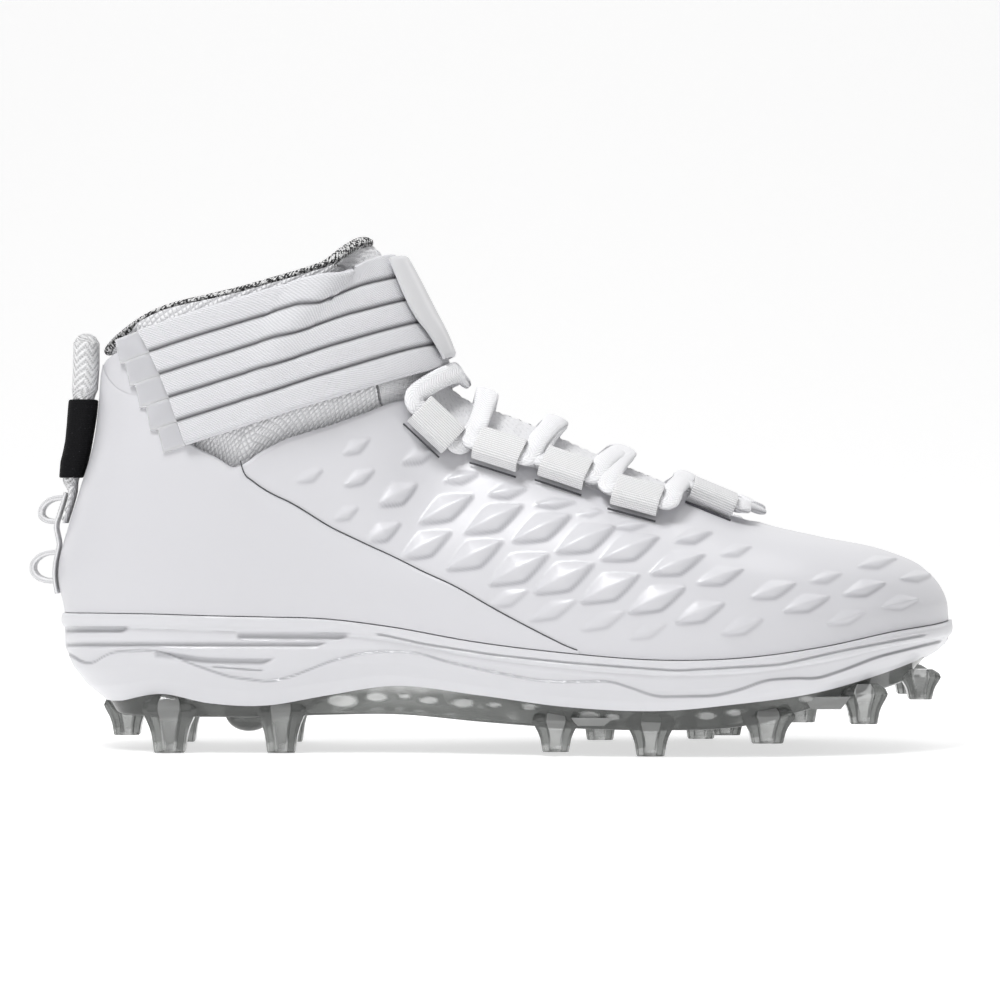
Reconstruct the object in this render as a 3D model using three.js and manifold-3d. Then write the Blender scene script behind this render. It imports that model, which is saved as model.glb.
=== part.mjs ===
// High-cut american football cleat, right foot, millimetres.
// +X runs from heel to toe, +Y to the inner (medial) side, +Z up; the studs stand on Z = 0.
import * as THREE from "three";
import { mergeVertices } from "three/addons/utils/BufferGeometryUtils.js";
import Module from "manifold-3d";

const wasm = await Module();
wasm.setup();

// Driving sizes of the last and the sole
const SOLE_LENGTH = 298;
const BALL_WIDTH = 103;
const HEEL_HEIGHT = 45;
const ANKLE_RISE = 122;

// Walls, gaps and small parts
const CLEARANCE = 0.3;
const SHELL_WALL = 1.8;
const SOCK_WALL = 2.6;
const TONGUE_WALL = 3.6;
const INSOLE_THICKNESS = 3.5;
const SOLE_RIM = 1.6;
const BED_DEPTH = 3;
const STRAP_THICKNESS = 2.4;
const STRAP_SLOPE = 0.32;
const STRAP_WIDTH = 37;
const STRAP_HEIGHT = 85.5;
const STRAP_BANDS = 5;
const GROOVE_DEPTH = 0.8;
const GROOVE_WIDTH = 1.4;
const ANCHOR_THICKNESS = 1;
const ANCHOR_LENGTH = 9;
const END_TAB_THICKNESS = 1.6;
const LACE_DIAMETER = 4.8;
const LOOP_LENGTH = 15.5;
const LOOP_REACH = 11.5;
const LOOP_WALL = 1.1;
const STUD_HEIGHT = 14;

// Rows of the last from the toe tip to the heel back, in percent of the driving sizes.
// latX, medX and topX are shares of the sole length; latY, medY, ridge and spread of the ball width;
// feather of the heel height; topZ of the ankle rise above the heel height.
// in1..up3 shape the side between the feather edge (0, 0) and the top line (100, 100), and round is how far the
// plan of a row turns square to the ridge.
const LAST_COLUMNS = ["latX", "latY", "medX", "medY", "feather", "topX", "ridge", "spread", "topZ",
  "in1", "up1", "in2", "up2", "in3", "up3", "round"];
const LAST = [
  [99.5, 8.7, 99.5, 8.7, 93.8, 95.5, 7.8, 0, 13.4, 6, 34, 30, 64, 66, 87, 0],
  [97, -12.6, 97.7, 25.2, 92, 93.6, 7.8, 0, 15.4, 3, 34, 24, 66, 62, 90, 0],
  [91.3, -32, 93, 36.9, 88.2, 90.3, 7.8, 0, 18, 1, 34, 18, 68, 55, 92, 0],
  [83.2, -43.7, 84.6, 44.2, 78.4, 84.6, 7.3, 0, 20.7, 0, 33, 13, 68, 46, 92, 0],
  [74.5, -48.5, 75.5, 47.1, 71.3, 77.2, 6.8, 0, 25.2, -1, 32, 11, 66, 42, 90, 0],
  [65.4, -48.5, 66.4, 45.1, 70, 68.8, 5.8, 0, 34.3, -0.5, 30, 12, 62, 42, 88, 0],
  [55.7, -45.1, 56.4, 39.3, 74.7, 60.4, 4.4, 0, 42.8, 1, 28, 16, 58, 46, 86, 0],
  [46.3, -39.8, 46.3, 33.5, 81.8, 51.7, 2.9, 0, 52.2, 3, 26, 20, 54, 50, 84, 40],
  [37.6, -35, 37.6, 30.1, 91.6, 44, 1.5, 0, 60.3, 5, 25, 25, 52, 54, 83, 80],
  [30.2, -33.3, 30.2, 30.1, 97.6, 40.4, 0.5, 0, 77, 4, 25, 18, 56, 46, 85, 100],
  [23.5, -33.3, 23.5, 31.1, 99.1, 34.8, 0, 0, 100, 3, 24, 14, 54, 42, 82, 100],
  [17.4, -33.5, 17.4, 32.2, 100, 30.2, 0, 20.4, 93.3, 3, 24, 18, 52, 48, 80, 50],
  [11.7, -32, 11.7, 31.1, 101.1, 20.1, 0, 26.2, 85.7, 2, 22, 26, 49, 60, 75, 0],
  [6, -26.7, 6, 25.7, 101.3, 11.7, 0, 22.5, 81, -1, 20, 30, 47, 68, 71, 0],
  [2, -16, 2, 15, 100.7, 6.5, 0, 12.6, 74.2, -10, 19, 36, 46, 78, 68, 0],
  [0.4, 0, 0.4, 0, 100, 4.6, 0, 0, 70.5, -16, 18, 38, 46, 80, 68, 0],
];
const RIDGE_END = 10;
const HEEL_ROW = LAST.length - 1;
const LOOP_ROWS = 2 * HEEL_ROW;

// Sole sections at the same rows: height of the parting of white wall and clear plate, height of the
// plate's underside, both in percent of the heel height, and the inset of each in percent of the ball width.
const SOLE_COLUMNS = ["parting", "under", "partingInset", "underInset"];
const SOLE = [
  [66, 52, 7.5, 12],
  [65, 48, 7, 11],
  [57, 42, 6, 10],
  [45.5, 32, 5, 9],
  [38.5, 20.5, 4.5, 8],
  [33.5, 18.5, 4, 7.5],
  [36, 19.5, 4, 7.5],
  [43.5, 23, 4.5, 8],
  [49.5, 27.5, 5, 8.5],
  [42.5, 27, 5, 8.5],
  [35, 25.5, 5, 8.5],
  [36.5, 25.5, 5, 8.5],
  [43, 25.5, 6, 9],
  [37.5, 25.5, 9, 11.5],
  [36.5, 25.5, 12, 14.5],
  [35.5, 25.5, 12.7, 15],
];

// Rows against shares of the height: the shell's top edge, the diagonal seam between heel quarter and vamp,
// the line where tongue and knit collar meet, and the collar's lower edge inside the shell
const SHELL_EDGE = [[0, 1], [3.9, 1], [4, 0.95], [4.25, 0.91], [4.8, 0.87], [5.05, 0.78], [5.6, 0.74], [6, 0.74],
  [7, 0.74], [8, 0.75], [8.6, 0.74], [8.85, 0.67], [9.2, 0.57], [9.65, 0.47], [10.25, 0.42], [10.55, 0.42],
  [10.8, 0.39], [11.2, 0.44], [11.9, 0.53], [12.55, 0.72], [13, 0.84], [13.3, 0.92], [13.7, 0.955], [14.65, 0.97],
  [15, 0.97]];
const SEAM = [[0, 0], [5.8, 0], [6.5, 0.11], [7.25, 0.22], [8.1, 0.28], [9.1, 0.29], [10.15, 0.32], [10.8, 0.39],
  [11, 0.5], [15, 1]];
const TONGUE_EDGE = [[0, 0.7], [4.35, 0.72], [5, 0.66], [7, 0.6], [8, 0.58], [9, 0.66], [10, 0.8], [10.8, 0.97],
  [11, 1], [15, 1]];
const COLLAR_FOOT = [[8, 0.42], [9, 0.42], [10, 0.34], [10.65, 0.3], [11.2, 0.34], [12, 0.42], [13, 0.55],
  [14, 0.62], [15, 0.62]];
const TONGUE_FRONT = 3.9;
const COLLAR_FRONT = 8.2;
const TONGUE_CORNER = 10.8;
const QUARTER_STEP = 0.5;

// Lacing: rows at the rear and front end of each webbing loop, and the share of height at its middle
const LOOPS = [[8.5, 7.8, 0.715], [7.35, 6.8, 0.725], [6.5, 5.95, 0.735], [5.6, 5.05, 0.7], [4.8, 4.25, 0.87]];

// Ends of the ankle strap on each side, as rows at its lower and upper edge
const STRAP_REAR = [11.88, 13.28];
const END_TAB_REAR = [10.9, 11.5];
const END_TAB_FRONT = 0.12;

// Studs: places in percent of sole length and ball width, tip length, tip width and tip height
const STUD_COLUMNS = ["x", "y", "length", "width", "tip"];
const STUDS = [
  [7.2, 0, 8.5, 7, 4],
  [12.8, -23.3, 10, 7, 0],
  [12.4, 22.3, 10, 7, 0],
  [25, -23.3, 9.2, 7, 0],
  [24.8, 22.3, 9.2, 7, 0],
  [54.9, -35, 8.6, 6.5, 1.2],
  [60.4, 30, 9, 7, 0],
  [65.1, -37, 9, 7, 0],
  [72.1, 35, 9, 7, 0],
  [74.2, 0, 9, 6.5, 3.9],
  [77.7, -37, 10, 7, 4.1],
  [83.6, 33, 9.5, 7, 5.8],
  [88.4, -29, 8.6, 6.5, 9.7],
  [95.6, -6, 7.5, 6, 16.2],
  [95.6, 23, 7.5, 6, 16.2],
];
const POD = { x: 20.8, y: 0, radius: 8, drop: 6.3 };

// Pull loop down the heel back: height, distance from the shell, thickness and width
const CORD_COLUMNS = ["z", "gap", "thick", "width"];
const CORD = [
  [74.5, 0.9, 1.4, 11],
  [80, 0.9, 1.6, 12],
  [85, 1, 2.6, 12],
  [88.5, 1.7, 5, 11],
  [95, 1.8, 6.4, 11],
  [105, 1.8, 7, 11],
  [116.5, 1.8, 7, 11],
  [119, 0.9, 8.4, 12],
  [128, 0.9, 8.6, 12.5],
  [134.5, 0.9, 8.4, 12.5],
  [136.8, 2.2, 5.6, 9.5],
  [137.6, 3.8, 2.4, 5],
];
const SLEEVE = { low: 89.6, high: 115.6, wall: 0.9 };

// Low webbing loops on the heel back: middle height, half height and how far each stands out
const WEB_LOOPS = [[60, 5.6, 6.4], [79, 4.8, 5.4]];
const WEB = { low: 51, high: 84.6, width: 8, wall: 1.6, gap: 3.2 };

// Smooth curve through four equally spaced values
function spline(a, b, c, d, t) {
  return 0.5 * (2 * b + (c - a) * t + (2 * a - 5 * b + 4 * c - d) * t * t + (3 * b - a - 3 * c + d) * t ** 3);
}

// Straight interpolation in a table of [place, value] pairs
function graph(table, place) {
  const last = table.length - 1;
  if (place <= table[0][0]) return table[0][1];
  if (place >= table[last][0]) return table[last][1];
  const next = table.findIndex((pair) => pair[0] >= place);
  const [p0, v0] = table[next - 1];
  const [p1, v1] = table[next];
  return v0 + (v1 - v0) * (place - p0) / (p1 - p0);
}

// The row table as a closed ring: lateral rows 0 to 15, then the medial rows back to the toe tip
function ringRow(table, columns, index) {
  const k = ((index % LOOP_ROWS) + LOOP_ROWS) % LOOP_ROWS;
  const medial = k > HEEL_ROW;
  const values = table[medial ? LOOP_ROWS - k : k];
  const row = Object.fromEntries(columns.map((name, i) => [name, values[i] / 100]));
  return { row, side: medial ? 1 : -1, k };
}

function ringValue(table, columns, place, read) {
  const base = Math.floor(place);
  const values = [-1, 0, 1, 2].map((step) => read(ringRow(table, columns, base + step)));
  return spline(...values, place - base);
}

// Place on the ring of a station on one side, 0 at the toe tip and 15 at the heel back
function ringPlace(station, side) {
  return side < 0 ? station : LOOP_ROWS - station;
}

function section(place) {
  const read = (pick) => ringValue(LAST, LAST_COLUMNS, place, pick);
  return {
    footX: read(({ row, side }) => (side < 0 ? row.latX : row.medX) * SOLE_LENGTH),
    footY: read(({ row, side }) => (side < 0 ? row.latY : row.medY) * BALL_WIDTH),
    footZ: read(({ row }) => row.feather * HEEL_HEIGHT),
    topX: read(({ row }) => row.topX * SOLE_LENGTH),
    topY: read(({ row, side }) => (row.ridge + side * row.spread) * BALL_WIDTH),
    topZ: read(({ row }) => HEEL_HEIGHT + row.topZ * ANKLE_RISE),
    inward: [0, read(({ row }) => row.in1), read(({ row }) => row.in2), read(({ row }) => row.in3), 1],
    up: [0, read(({ row }) => row.up1), read(({ row }) => row.up2), read(({ row }) => row.up3), 1],
    round: read(({ row }) => row.round),
    side: place < HEEL_ROW ? -1 : 1,
  };
}

// Point of the last's surface; station 0 to 15, side -1 lateral or +1 medial, share 0 at the feather, 1 on top
function lastPoint(station, side, share) {
  if (station < 0) return lastPoint(-station, -side, share);
  if (station > HEEL_ROW) return lastPoint(2 * HEEL_ROW - station, -side, share);
  if (share > 1 && station <= RIDGE_END) return lastPoint(station, -side, 2 - share);
  const s = section(ringPlace(station, side));
  const crown = THREE.MathUtils.clamp(RIDGE_END + 1 - station, 0, 1);
  const inward = [-s.inward[1], ...s.inward, 2 - s.inward[3]];
  const up = [-s.up[1], ...s.up, (2 - s.up[3]) * (1 - crown) + s.up[3] * crown];
  const scaled = THREE.MathUtils.clamp(share, -0.2, 1.2) * 4;
  const base = Math.min(3, Math.max(0, Math.floor(scaled)));
  const along = spline(inward[base], inward[base + 1], inward[base + 2], inward[base + 3], scaled - base);
  const height = spline(up[base], up[base + 1], up[base + 2], up[base + 3], scaled - base);
  const forward = along + s.round * along * (1 - along);
  return new THREE.Vector3(
    s.footX + (s.topX - s.footX) * forward,
    s.footY + (s.topY - s.footY) * along,
    s.footZ + (s.topZ - s.footZ) * height,
  );
}

// Outward normal of the last's surface
function lastNormal(station, side, share) {
  const step = 0.04;
  const along = lastPoint(station + step, side, share).sub(lastPoint(station - step, side, share));
  const low = lastPoint(station, side, share - step);
  const up = lastPoint(station, side, share + step).sub(low);
  return along.cross(up).normalize().multiplyScalar(side < 0 ? -1 : 1);
}

// Shared place of points on the closed ridge, the toe tip and the heel back, so that both sides meet there
function meetingSide(station, side, share) {
  const onRidge = share >= 1 && station <= RIDGE_END;
  return onRidge || station === 0 || station === HEEL_ROW ? -1 : side;
}

// Point at an offset outwards from the last's surface
function offsetPoint(station, side, share, offset) {
  const shared = meetingSide(station, side, share);
  const point = lastPoint(station, shared, share);
  const normal = lastNormal(share > 0.9 ? Math.max(station, 0.3) : station, shared, share);
  return point.addScaledVector(normal, offset);
}

// Closed geometry from a list of triangles, welded, with its faces turned outwards
function weld(triangles) {
  const index = [];
  const places = new Map();
  const positions = [];
  const number = (point) => {
    const key = [point.x, point.y, point.z].map((value) => Math.round(value * 2000)).join(",");
    if (!places.has(key)) {
      places.set(key, positions.length / 3);
      positions.push(point.x, point.y, point.z);
    }
    return places.get(key);
  };
  let volume = 0;
  for (const [a, b, c] of triangles) {
    const corners = [number(a), number(b), number(c)];
    if (new Set(corners).size < 3) continue;
    index.push(corners);
    volume += a.dot(new THREE.Vector3().crossVectors(b, c));
  }
  if (volume < 0) index.forEach((corners) => corners.reverse());
  const geometry = new THREE.BufferGeometry();
  geometry.setAttribute("position", new THREE.Float32BufferAttribute(positions, 3));
  geometry.setIndex(index.flat());
  return geometry;
}

function quad(triangles, a, b, c, d) {
  triangles.push([a, b, c], [a, c, d]);
}

// Solid sheet over a grid of outer and inner points, grid[i][j] with both; open ends and rims are closed,
// and edges named in `shut` are left to meet their mirror image
function sheet(triangles, grid, flip, shut) {
  const add = (a, b, c, d) => (flip ? quad(triangles, d, c, b, a) : quad(triangles, a, b, c, d));
  const last = grid[0].length - 1;
  grid.slice(1).forEach((next, i) => {
    const here = grid[i];
    for (let j = 0; j < last; j += 1) {
      add(here[j].out, next[j].out, next[j + 1].out, here[j + 1].out);
      add(here[j + 1].in, next[j + 1].in, next[j].in, here[j].in);
    }
    add(next[0].out, here[0].out, here[0].in, next[0].in);
    if (!shut.top(i)) add(here[last].out, next[last].out, next[last].in, here[last].in);
  });
  const first = grid[0];
  const final = grid[grid.length - 1];
  for (let j = 0; j < last; j += 1) {
    if (!shut.start) add(first[j].out, first[j + 1].out, first[j + 1].in, first[j].in);
    if (!shut.end) add(final[j + 1].out, final[j].out, final[j].in, final[j + 1].in);
  }
}

// Sheet over both sides of the last: `shares` gives each station's shares, `outer` and `inner` the offsets
function lastSheet({ stations, shares, outer, inner }) {
  const triangles = [];
  for (const side of [-1, 1]) {
    const grid = stations.map((station) => shares(station).map((share, j) => ({
      out: offsetPoint(station, side, share, outer(station, share, j)),
      in: offsetPoint(station, side, share, inner(station, share, j)),
    })));
    const closes = (station) => station <= RIDGE_END && shares(station).at(-1) >= 1;
    sheet(triangles, grid, side < 0, {
      top: (i) => closes(stations[i]) && closes(stations[i + 1]),
      start: stations[0] === 0,
      end: stations.at(-1) === HEEL_ROW,
    });
  }
  return weld(triangles);
}

function steps(from, to, count) {
  return Array.from({ length: count + 1 }, (_, i) => from + (to - from) * i / count);
}

function shellTop(station) {
  return graph(SHELL_EDGE, station);
}

// Moulded shell: heel quarter below and behind the diagonal seam, vamp above it
const SHELL_STATIONS = [0, 0.35, 0.8, 1.4, 2, 2.6, 3.3, 3.9, 4.1, 4.4, 4.8, 5.05, 5.6, 6.2, 6.8, 7.4, 8,
  8.6, 8.85, 9.2, 9.65, 10.1, 10.55, TONGUE_CORNER, 11.2, 11.9, 12.4, 13, 13.4, 13.9, 14.5, 15];
const SEAM_ROWS = 6;
const STEP_SHARE = 0.008;

function shellShares(station) {
  const top = shellTop(station);
  const seam = Math.min(graph(SEAM, station), top);
  const start = Math.min(seam > 0 ? seam + STEP_SHARE : 0, top);
  return [...steps(0, seam, SEAM_ROWS), ...steps(start, top, SEAM_ROWS)];
}

function quarterStep(station) {
  return QUARTER_STEP * THREE.MathUtils.clamp(graph(SEAM, station) / 0.05, 0, 1);
}

function buildUpper() {
  const plain = (station) => graph(SEAM, station) >= shellTop(station);
  const raised = (station, j) => j <= SEAM_ROWS || plain(station);
  return lastSheet({
    stations: SHELL_STATIONS,
    shares: shellShares,
    outer: (station, share, j) => (raised(station, j) ? quarterStep(station) : 0),
    inner: () => -SHELL_WALL,
  });
}

// Offset of the knit's outer face: behind the shell's wall, swelling out where the shell ends
const SOCK_GAP = 4 * CLEARANCE;
const SWELL_START = 0.012;
const SWELL_RUN = 0.06;
const RIM_DEPTH = 3;

function knitFace(station, share, proud, depth = 0) {
  const hidden = -(SHELL_WALL + SOCK_GAP + depth);
  const ramp = THREE.MathUtils.smoothstep(share - shellTop(station) - SWELL_START, 0, SWELL_RUN);
  return hidden + (proud - hidden) * ramp;
}

// Thickness below the last's surface, thinner towards the top rim
function thinned(depth, share) {
  return depth - (depth - RIM_DEPTH) * THREE.MathUtils.smoothstep(share, 0.8, 1);
}

// Shares across a knit piece, with a row on each side of the swell above the shell's edge
function knitShares(station, low, high, under, above) {
  const lip = THREE.MathUtils.clamp(shellTop(station) + SWELL_START, low, high);
  const free = Math.min(lip + SWELL_RUN, high);
  return [...steps(low, lip, under), ...steps(free, high, above)];
}

function buildCollar() {
  const stations = [COLLAR_FRONT, 8.6, 8.85, 9.2, 9.65, 10.1, 10.55, TONGUE_CORNER, 11.2, 11.9, 12.4, 13, 13.4, 13.9,
    14.5, 15];
  const seamGap = 0.006;
  return lastSheet({
    stations,
    shares: (station) => {
      const top = station < TONGUE_CORNER + 0.1 ? graph(TONGUE_EDGE, station) - seamGap : 1;
      return knitShares(station, graph(COLLAR_FOOT, station), top, 3, 4);
    },
    outer: (station, share) => knitFace(station, share, 0),
    inner: (station, share) => -thinned(SHELL_WALL + SOCK_GAP + SOCK_WALL, share),
  });
}

function buildTongue() {
  const stations = [TONGUE_FRONT, 4.1, 4.4, 4.8, 5.05, 5.6, 6.2, 6.8, 7.4, 8, 8.6, 8.85, 9.2, 9.65, RIDGE_END, 10.4,
    TONGUE_CORNER];
  const seamGap = 0.006;
  return lastSheet({
    stations,
    shares: (station) => knitShares(station, graph(TONGUE_EDGE, station) + seamGap, 1, 2, 4),
    outer: (station, share) => knitFace(station, share, -CLEARANCE, CLEARANCE),
    inner: (station) => -thinned(SHELL_WALL + SOCK_GAP + TONGUE_WALL, station / RIDGE_END),
  });
}

// Outline of the sole at an inset from the feather edge
function solePoint(place, inset, height) {
  const foot = (k) => {
    const s = section(k);
    return new THREE.Vector2(s.footX, s.footY);
  };
  const along = foot(place + 0.05).sub(foot(place - 0.05)).normalize();
  const point = foot(place);
  return new THREE.Vector3(point.x + along.y * inset, point.y - along.x * inset, height);
}

function soleSection(place) {
  const read = (pick) => ringValue(SOLE, SOLE_COLUMNS, place, pick);
  return {
    feather: section(place).footZ,
    parting: read(({ row }) => row.parting * HEEL_HEIGHT),
    under: read(({ row }) => row.under * HEEL_HEIGHT),
    partingInset: read(({ row }) => row.partingInset * BALL_WIDTH),
    underInset: read(({ row }) => row.underInset * BALL_WIDTH),
  };
}

const SOLE_STATIONS = [0, 0.35, 0.8, 1.4, 2, 2.6, 3.3, ...steps(4, 13, 15), 13.5, 14, 14.5, 15];

// Solid of stacked outlines, closed below the first and above the last by strips from side to side
function soleSolid(rings) {
  const triangles = [];
  const lines = [-1, 1].map((side) => SOLE_STATIONS.map((station) => {
    const place = ringPlace(station, side);
    const values = soleSection(place);
    return rings(values).map(([inset, height]) => solePoint(place, inset, height));
  }));
  const [lateral, medial] = lines;
  const meet = (i) => i === 0 || i === SOLE_STATIONS.length - 1;
  SOLE_STATIONS.forEach((_, i) => {
    if (meet(i)) medial[i] = lateral[i];
  });
  const top = lateral[0].length - 1;
  for (let i = 0; i + 1 < SOLE_STATIONS.length; i += 1) {
    for (let j = 0; j < top; j += 1) {
      quad(triangles, lateral[i + 1][j], lateral[i][j], lateral[i][j + 1], lateral[i + 1][j + 1]);
      quad(triangles, medial[i][j], medial[i + 1][j], medial[i + 1][j + 1], medial[i][j + 1]);
    }
    quad(triangles, lateral[i][0], lateral[i + 1][0], medial[i + 1][0], medial[i][0]);
    quad(triangles, medial[i][top], medial[i + 1][top], lateral[i + 1][top], lateral[i][top]);
  }
  return weld(triangles);
}

// Side profile of the white wall below its bead: share of its height against share of its inset
const WALL_PROFILE = [[0.4, 0.02], [0.62, 0.22], [0.82, 0.54], [1, 1]];

// Raised ribs on the heel's sides: stations at their ends, drop of their middle below the feather at each end
const RIBS = [[14.5, 9.1, 7.4, 7.4], [12.4, 10.2, 13, 17]];
const RIB = { half: 1.3, proud: 0.8, root: 1.2 };

function wallRings(s) {
  return WALL_PROFILE.map(([depth, share]) => [
    share * s.partingInset - SOLE_RIM * (1 - depth) * 0.6,
    s.feather + (s.parting - s.feather) * depth,
  ]).reverse();
}

function rib([start, end, startDrop, endDrop], side) {
  const triangles = [];
  const grid = steps(0, 1, 6).map((share) => {
    const place = ringPlace(start + (end - start) * share, side);
    const s = soleSection(place);
    const wall = [...wallRings(s), [-0.35 * SOLE_RIM, s.feather - 5.2]].map(([inset, z]) => [z, inset]);
    const middle = s.feather - startDrop - (endDrop - startDrop) * share;
    return [middle - RIB.half, middle + RIB.half].map((z) => ({
      out: solePoint(place, graph(wall, z) - RIB.proud, z),
      in: solePoint(place, graph(wall, z) + RIB.root, z),
    }));
  });
  sheet(triangles, grid, side > 0, { top: () => false, start: false, end: false });
  return weld(triangles);
}

function buildMidsole() {
  const body = soleSolid((s) => {
    const seat = s.feather - CLEARANCE;
    return [
      ...wallRings(s),
      [-0.35 * SOLE_RIM, s.feather - 5.2],
      [-0.9 * SOLE_RIM, s.feather - 4.2],
      [-SOLE_RIM, s.feather - 2],
      [-0.5 * SOLE_RIM, seat],
      [SHELL_WALL + 0.8, seat],
      [SHELL_WALL + 3.2, seat - BED_DEPTH],
    ];
  });
  const pieces = RIBS.flatMap((row) => [rib(row, -1), rib(row, 1)]);
  return fromManifold(pieces.reduce((solid, piece) => solid.add(toManifold(piece)), toManifold(body)));
}

function buildPlate() {
  return soleSolid((s) => [
    [s.underInset + 1.5, s.under],
    [s.underInset, s.under + 1],
    [(s.underInset + s.partingInset) / 2, (s.under + s.parting) / 2],
    [s.partingInset + CLEARANCE, s.parting - 1.5],
    [s.partingInset + 2 * CLEARANCE, s.parting - CLEARANCE],
  ]);
}

function buildInsole() {
  const side = SHELL_WALL + 1.3;
  return soleSolid((s) => {
    const floor = s.feather - BED_DEPTH;
    return [
      [side + 2.6, floor],
      [side, s.feather + 0.3],
      [side + 1.6, floor + INSOLE_THICKNESS + 1],
      [side + 6, floor + INSOLE_THICKNESS],
    ];
  });
}

// Closed loft through rings of points, each with the same number of points
function loft(rings) {
  const triangles = [];
  const count = rings[0].length;
  const middle = (ring) => ring.reduce((sum, point) => sum.add(point), new THREE.Vector3()).divideScalar(count);
  rings.slice(1).forEach((next, i) => {
    for (let j = 0; j < count; j += 1) {
      const k = (j + 1) % count;
      quad(triangles, rings[i][j], rings[i][k], next[k], next[j]);
    }
  });
  const low = middle(rings[0]);
  const high = middle(rings.at(-1));
  for (let j = 0; j < count; j += 1) {
    const k = (j + 1) % count;
    triangles.push([low, rings[0][k], rings[0][j]], [high, rings.at(-1)[j], rings.at(-1)[k]]);
  }
  return weld(triangles);
}

// Rounded rectangle of half sizes a and b round a centre in the XY plane
function roundedRing(x, y, z, a, b, count, square = 0.6) {
  return Array.from({ length: count }, (_, i) => {
    const angle = 2 * Math.PI * (i + 0.5) / count;
    const [c, s] = [Math.cos(angle), Math.sin(angle)];
    const bend = (value) => Math.sign(value) * Math.abs(value) ** square;
    return new THREE.Vector3(x + a * bend(c), y + b * bend(s), z);
  });
}

function toManifold(geometry) {
  const mesh = new wasm.Mesh({
    numProp: 3,
    vertProperties: new Float32Array(geometry.attributes.position.array),
    triVerts: new Uint32Array(geometry.index.array),
  });
  return new wasm.Manifold(mesh);
}

function fromManifold(solid) {
  const mesh = solid.getMesh();
  const geometry = new THREE.BufferGeometry();
  geometry.setAttribute("position", new THREE.Float32BufferAttribute(mesh.vertProperties, 3));
  geometry.setIndex(Array.from(mesh.triVerts));
  return geometry;
}

function bare(geometry) {
  geometry.deleteAttribute("normal");
  geometry.deleteAttribute("uv");
  return mergeVertices(geometry, 1e-4);
}

// Underside of the plate at a place along the sole
function plateUnder(x) {
  const stations = steps(0, HEEL_ROW, 60);
  const nearest = stations.reduce((best, station) => {
    const gap = Math.abs(section(station).footX - x);
    return gap < best.gap ? { gap, station } : best;
  }, { gap: Infinity, station: 0 });
  return soleSection(nearest.station).under;
}

// Flared stud from its root in the plate to its flat tip
function stud({ x, y, length, width, tip }) {
  const root = plateUnder(x) + 2.5;
  const profile = [[0, 1, 1], [0.4, 1.12, 1.12], [0.75, 1.5, 1.5], [1, 2.1, 2.1]];
  const height = Math.min(STUD_HEIGHT, root - tip);
  return loft(profile.map(([up, a, b]) => roundedRing(
    x, y, tip + up * height, a * length / 2, b * width / 2, 8,
  )));
}

function buildOutsole() {
  let solid = toManifold(buildPlate());
  for (const values of STUDS) {
    const row = Object.fromEntries(STUD_COLUMNS.map((name, i) => [name, values[i]]));
    const piece = stud({ ...row, x: row.x / 100 * SOLE_LENGTH, y: row.y / 100 * BALL_WIDTH });
    solid = solid.add(toManifold(piece));
  }
  const podX = POD.x / 100 * SOLE_LENGTH;
  const dome = [[-1, 0.2], [-0.92, 0.5], [-0.7, 0.76], [-0.35, 0.94], [0.25, 1]];
  const pod = loft(dome.map(([drop, share]) => roundedRing(
    podX, POD.y, plateUnder(podX) + drop * POD.drop, share * POD.radius, share * POD.radius, 12, 1,
  )));
  return fromManifold(solid.add(toManifold(pod)));
}

// Sloping level of a point, constant along the strap's edges
function level(point) {
  return point.z - STRAP_SLOPE * point.x;
}

function solve(low, high, wanted, read) {
  let [a, b] = [low, high];
  for (let i = 0; i < 30; i += 1) {
    const mid = (a + b) / 2;
    if (read(mid) < wanted) a = mid;
    else b = mid;
  }
  return (a + b) / 2;
}

function ridgeStation(wanted) {
  return solve(8, RIDGE_END, wanted, (station) => level(lastPoint(station, -1, 1)));
}

function bandPoint(wanted, station, side, offset) {
  const share = station <= ridgeStation(wanted) + 1e-6
    ? 1
    : solve(0.2, 1, wanted, (v) => level(lastPoint(station, side, v)));
  return offsetPoint(station, side, share, offset);
}

// Levels across the strap with the offset of the outer face at each: bands with grooves between them
function strapLevels() {
  const rise = STRAP_WIDTH / Math.cos(Math.atan(STRAP_SLOPE)) * (1 + STRAP_SLOPE ** 2);
  const band = rise / STRAP_BANDS;
  const levels = [];
  for (let i = 0; i < STRAP_BANDS; i += 1) {
    const low = STRAP_HEIGHT + band * i;
    levels.push([low + (i ? GROOVE_WIDTH / 2 : 0), STRAP_THICKNESS]);
    levels.push([low + band - (i < STRAP_BANDS - 1 ? GROOVE_WIDTH / 2 : 0), STRAP_THICKNESS]);
    if (i < STRAP_BANDS - 1) levels.push([low + band, STRAP_THICKNESS - GROOVE_DEPTH]);
  }
  return levels;
}

const STRAP_SEAT = 4 * CLEARANCE;

// Band along the ankle between two stations on each side, through the front ridge
function bandSolid({ levels, from, to, seat, nearCount, farCount }) {
  const triangles = [];
  const low = levels[0][0];
  const high = levels.at(-1)[0];
  const stops = (height) => {
    const share = (height - low) / (high - low);
    const front = ridgeStation(height);
    const start = from[0] + (from[1] - from[0]) * share;
    const end = to[0] + (to[1] - to[0]) * share;
    const even = (share) => share * share;
    const near = steps(1, 0, nearCount).map((u) => [front + (start - front) * even(u), -1]);
    const far = steps(0, 1, farCount).slice(1).map((u) => [front + (end - front) * even(u), 1]);
    return [...near, ...far];
  };
  const rows = levels.map(([height, thick]) => stops(height).map(([station, side]) => ({
    out: bandPoint(height, station, side, seat + thick),
    in: bandPoint(height, station, side, seat),
  })));
  const grid = rows[0].map((_, i) => rows.map((row) => row[i]));
  sheet(triangles, grid, true, { top: () => false, start: false, end: false });
  return weld(triangles);
}

function buildStrap() {
  return bandSolid({ levels: strapLevels(), from: STRAP_REAR, to: STRAP_REAR, seat: STRAP_SEAT, nearCount: 8, farCount: 8 });
}

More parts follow.
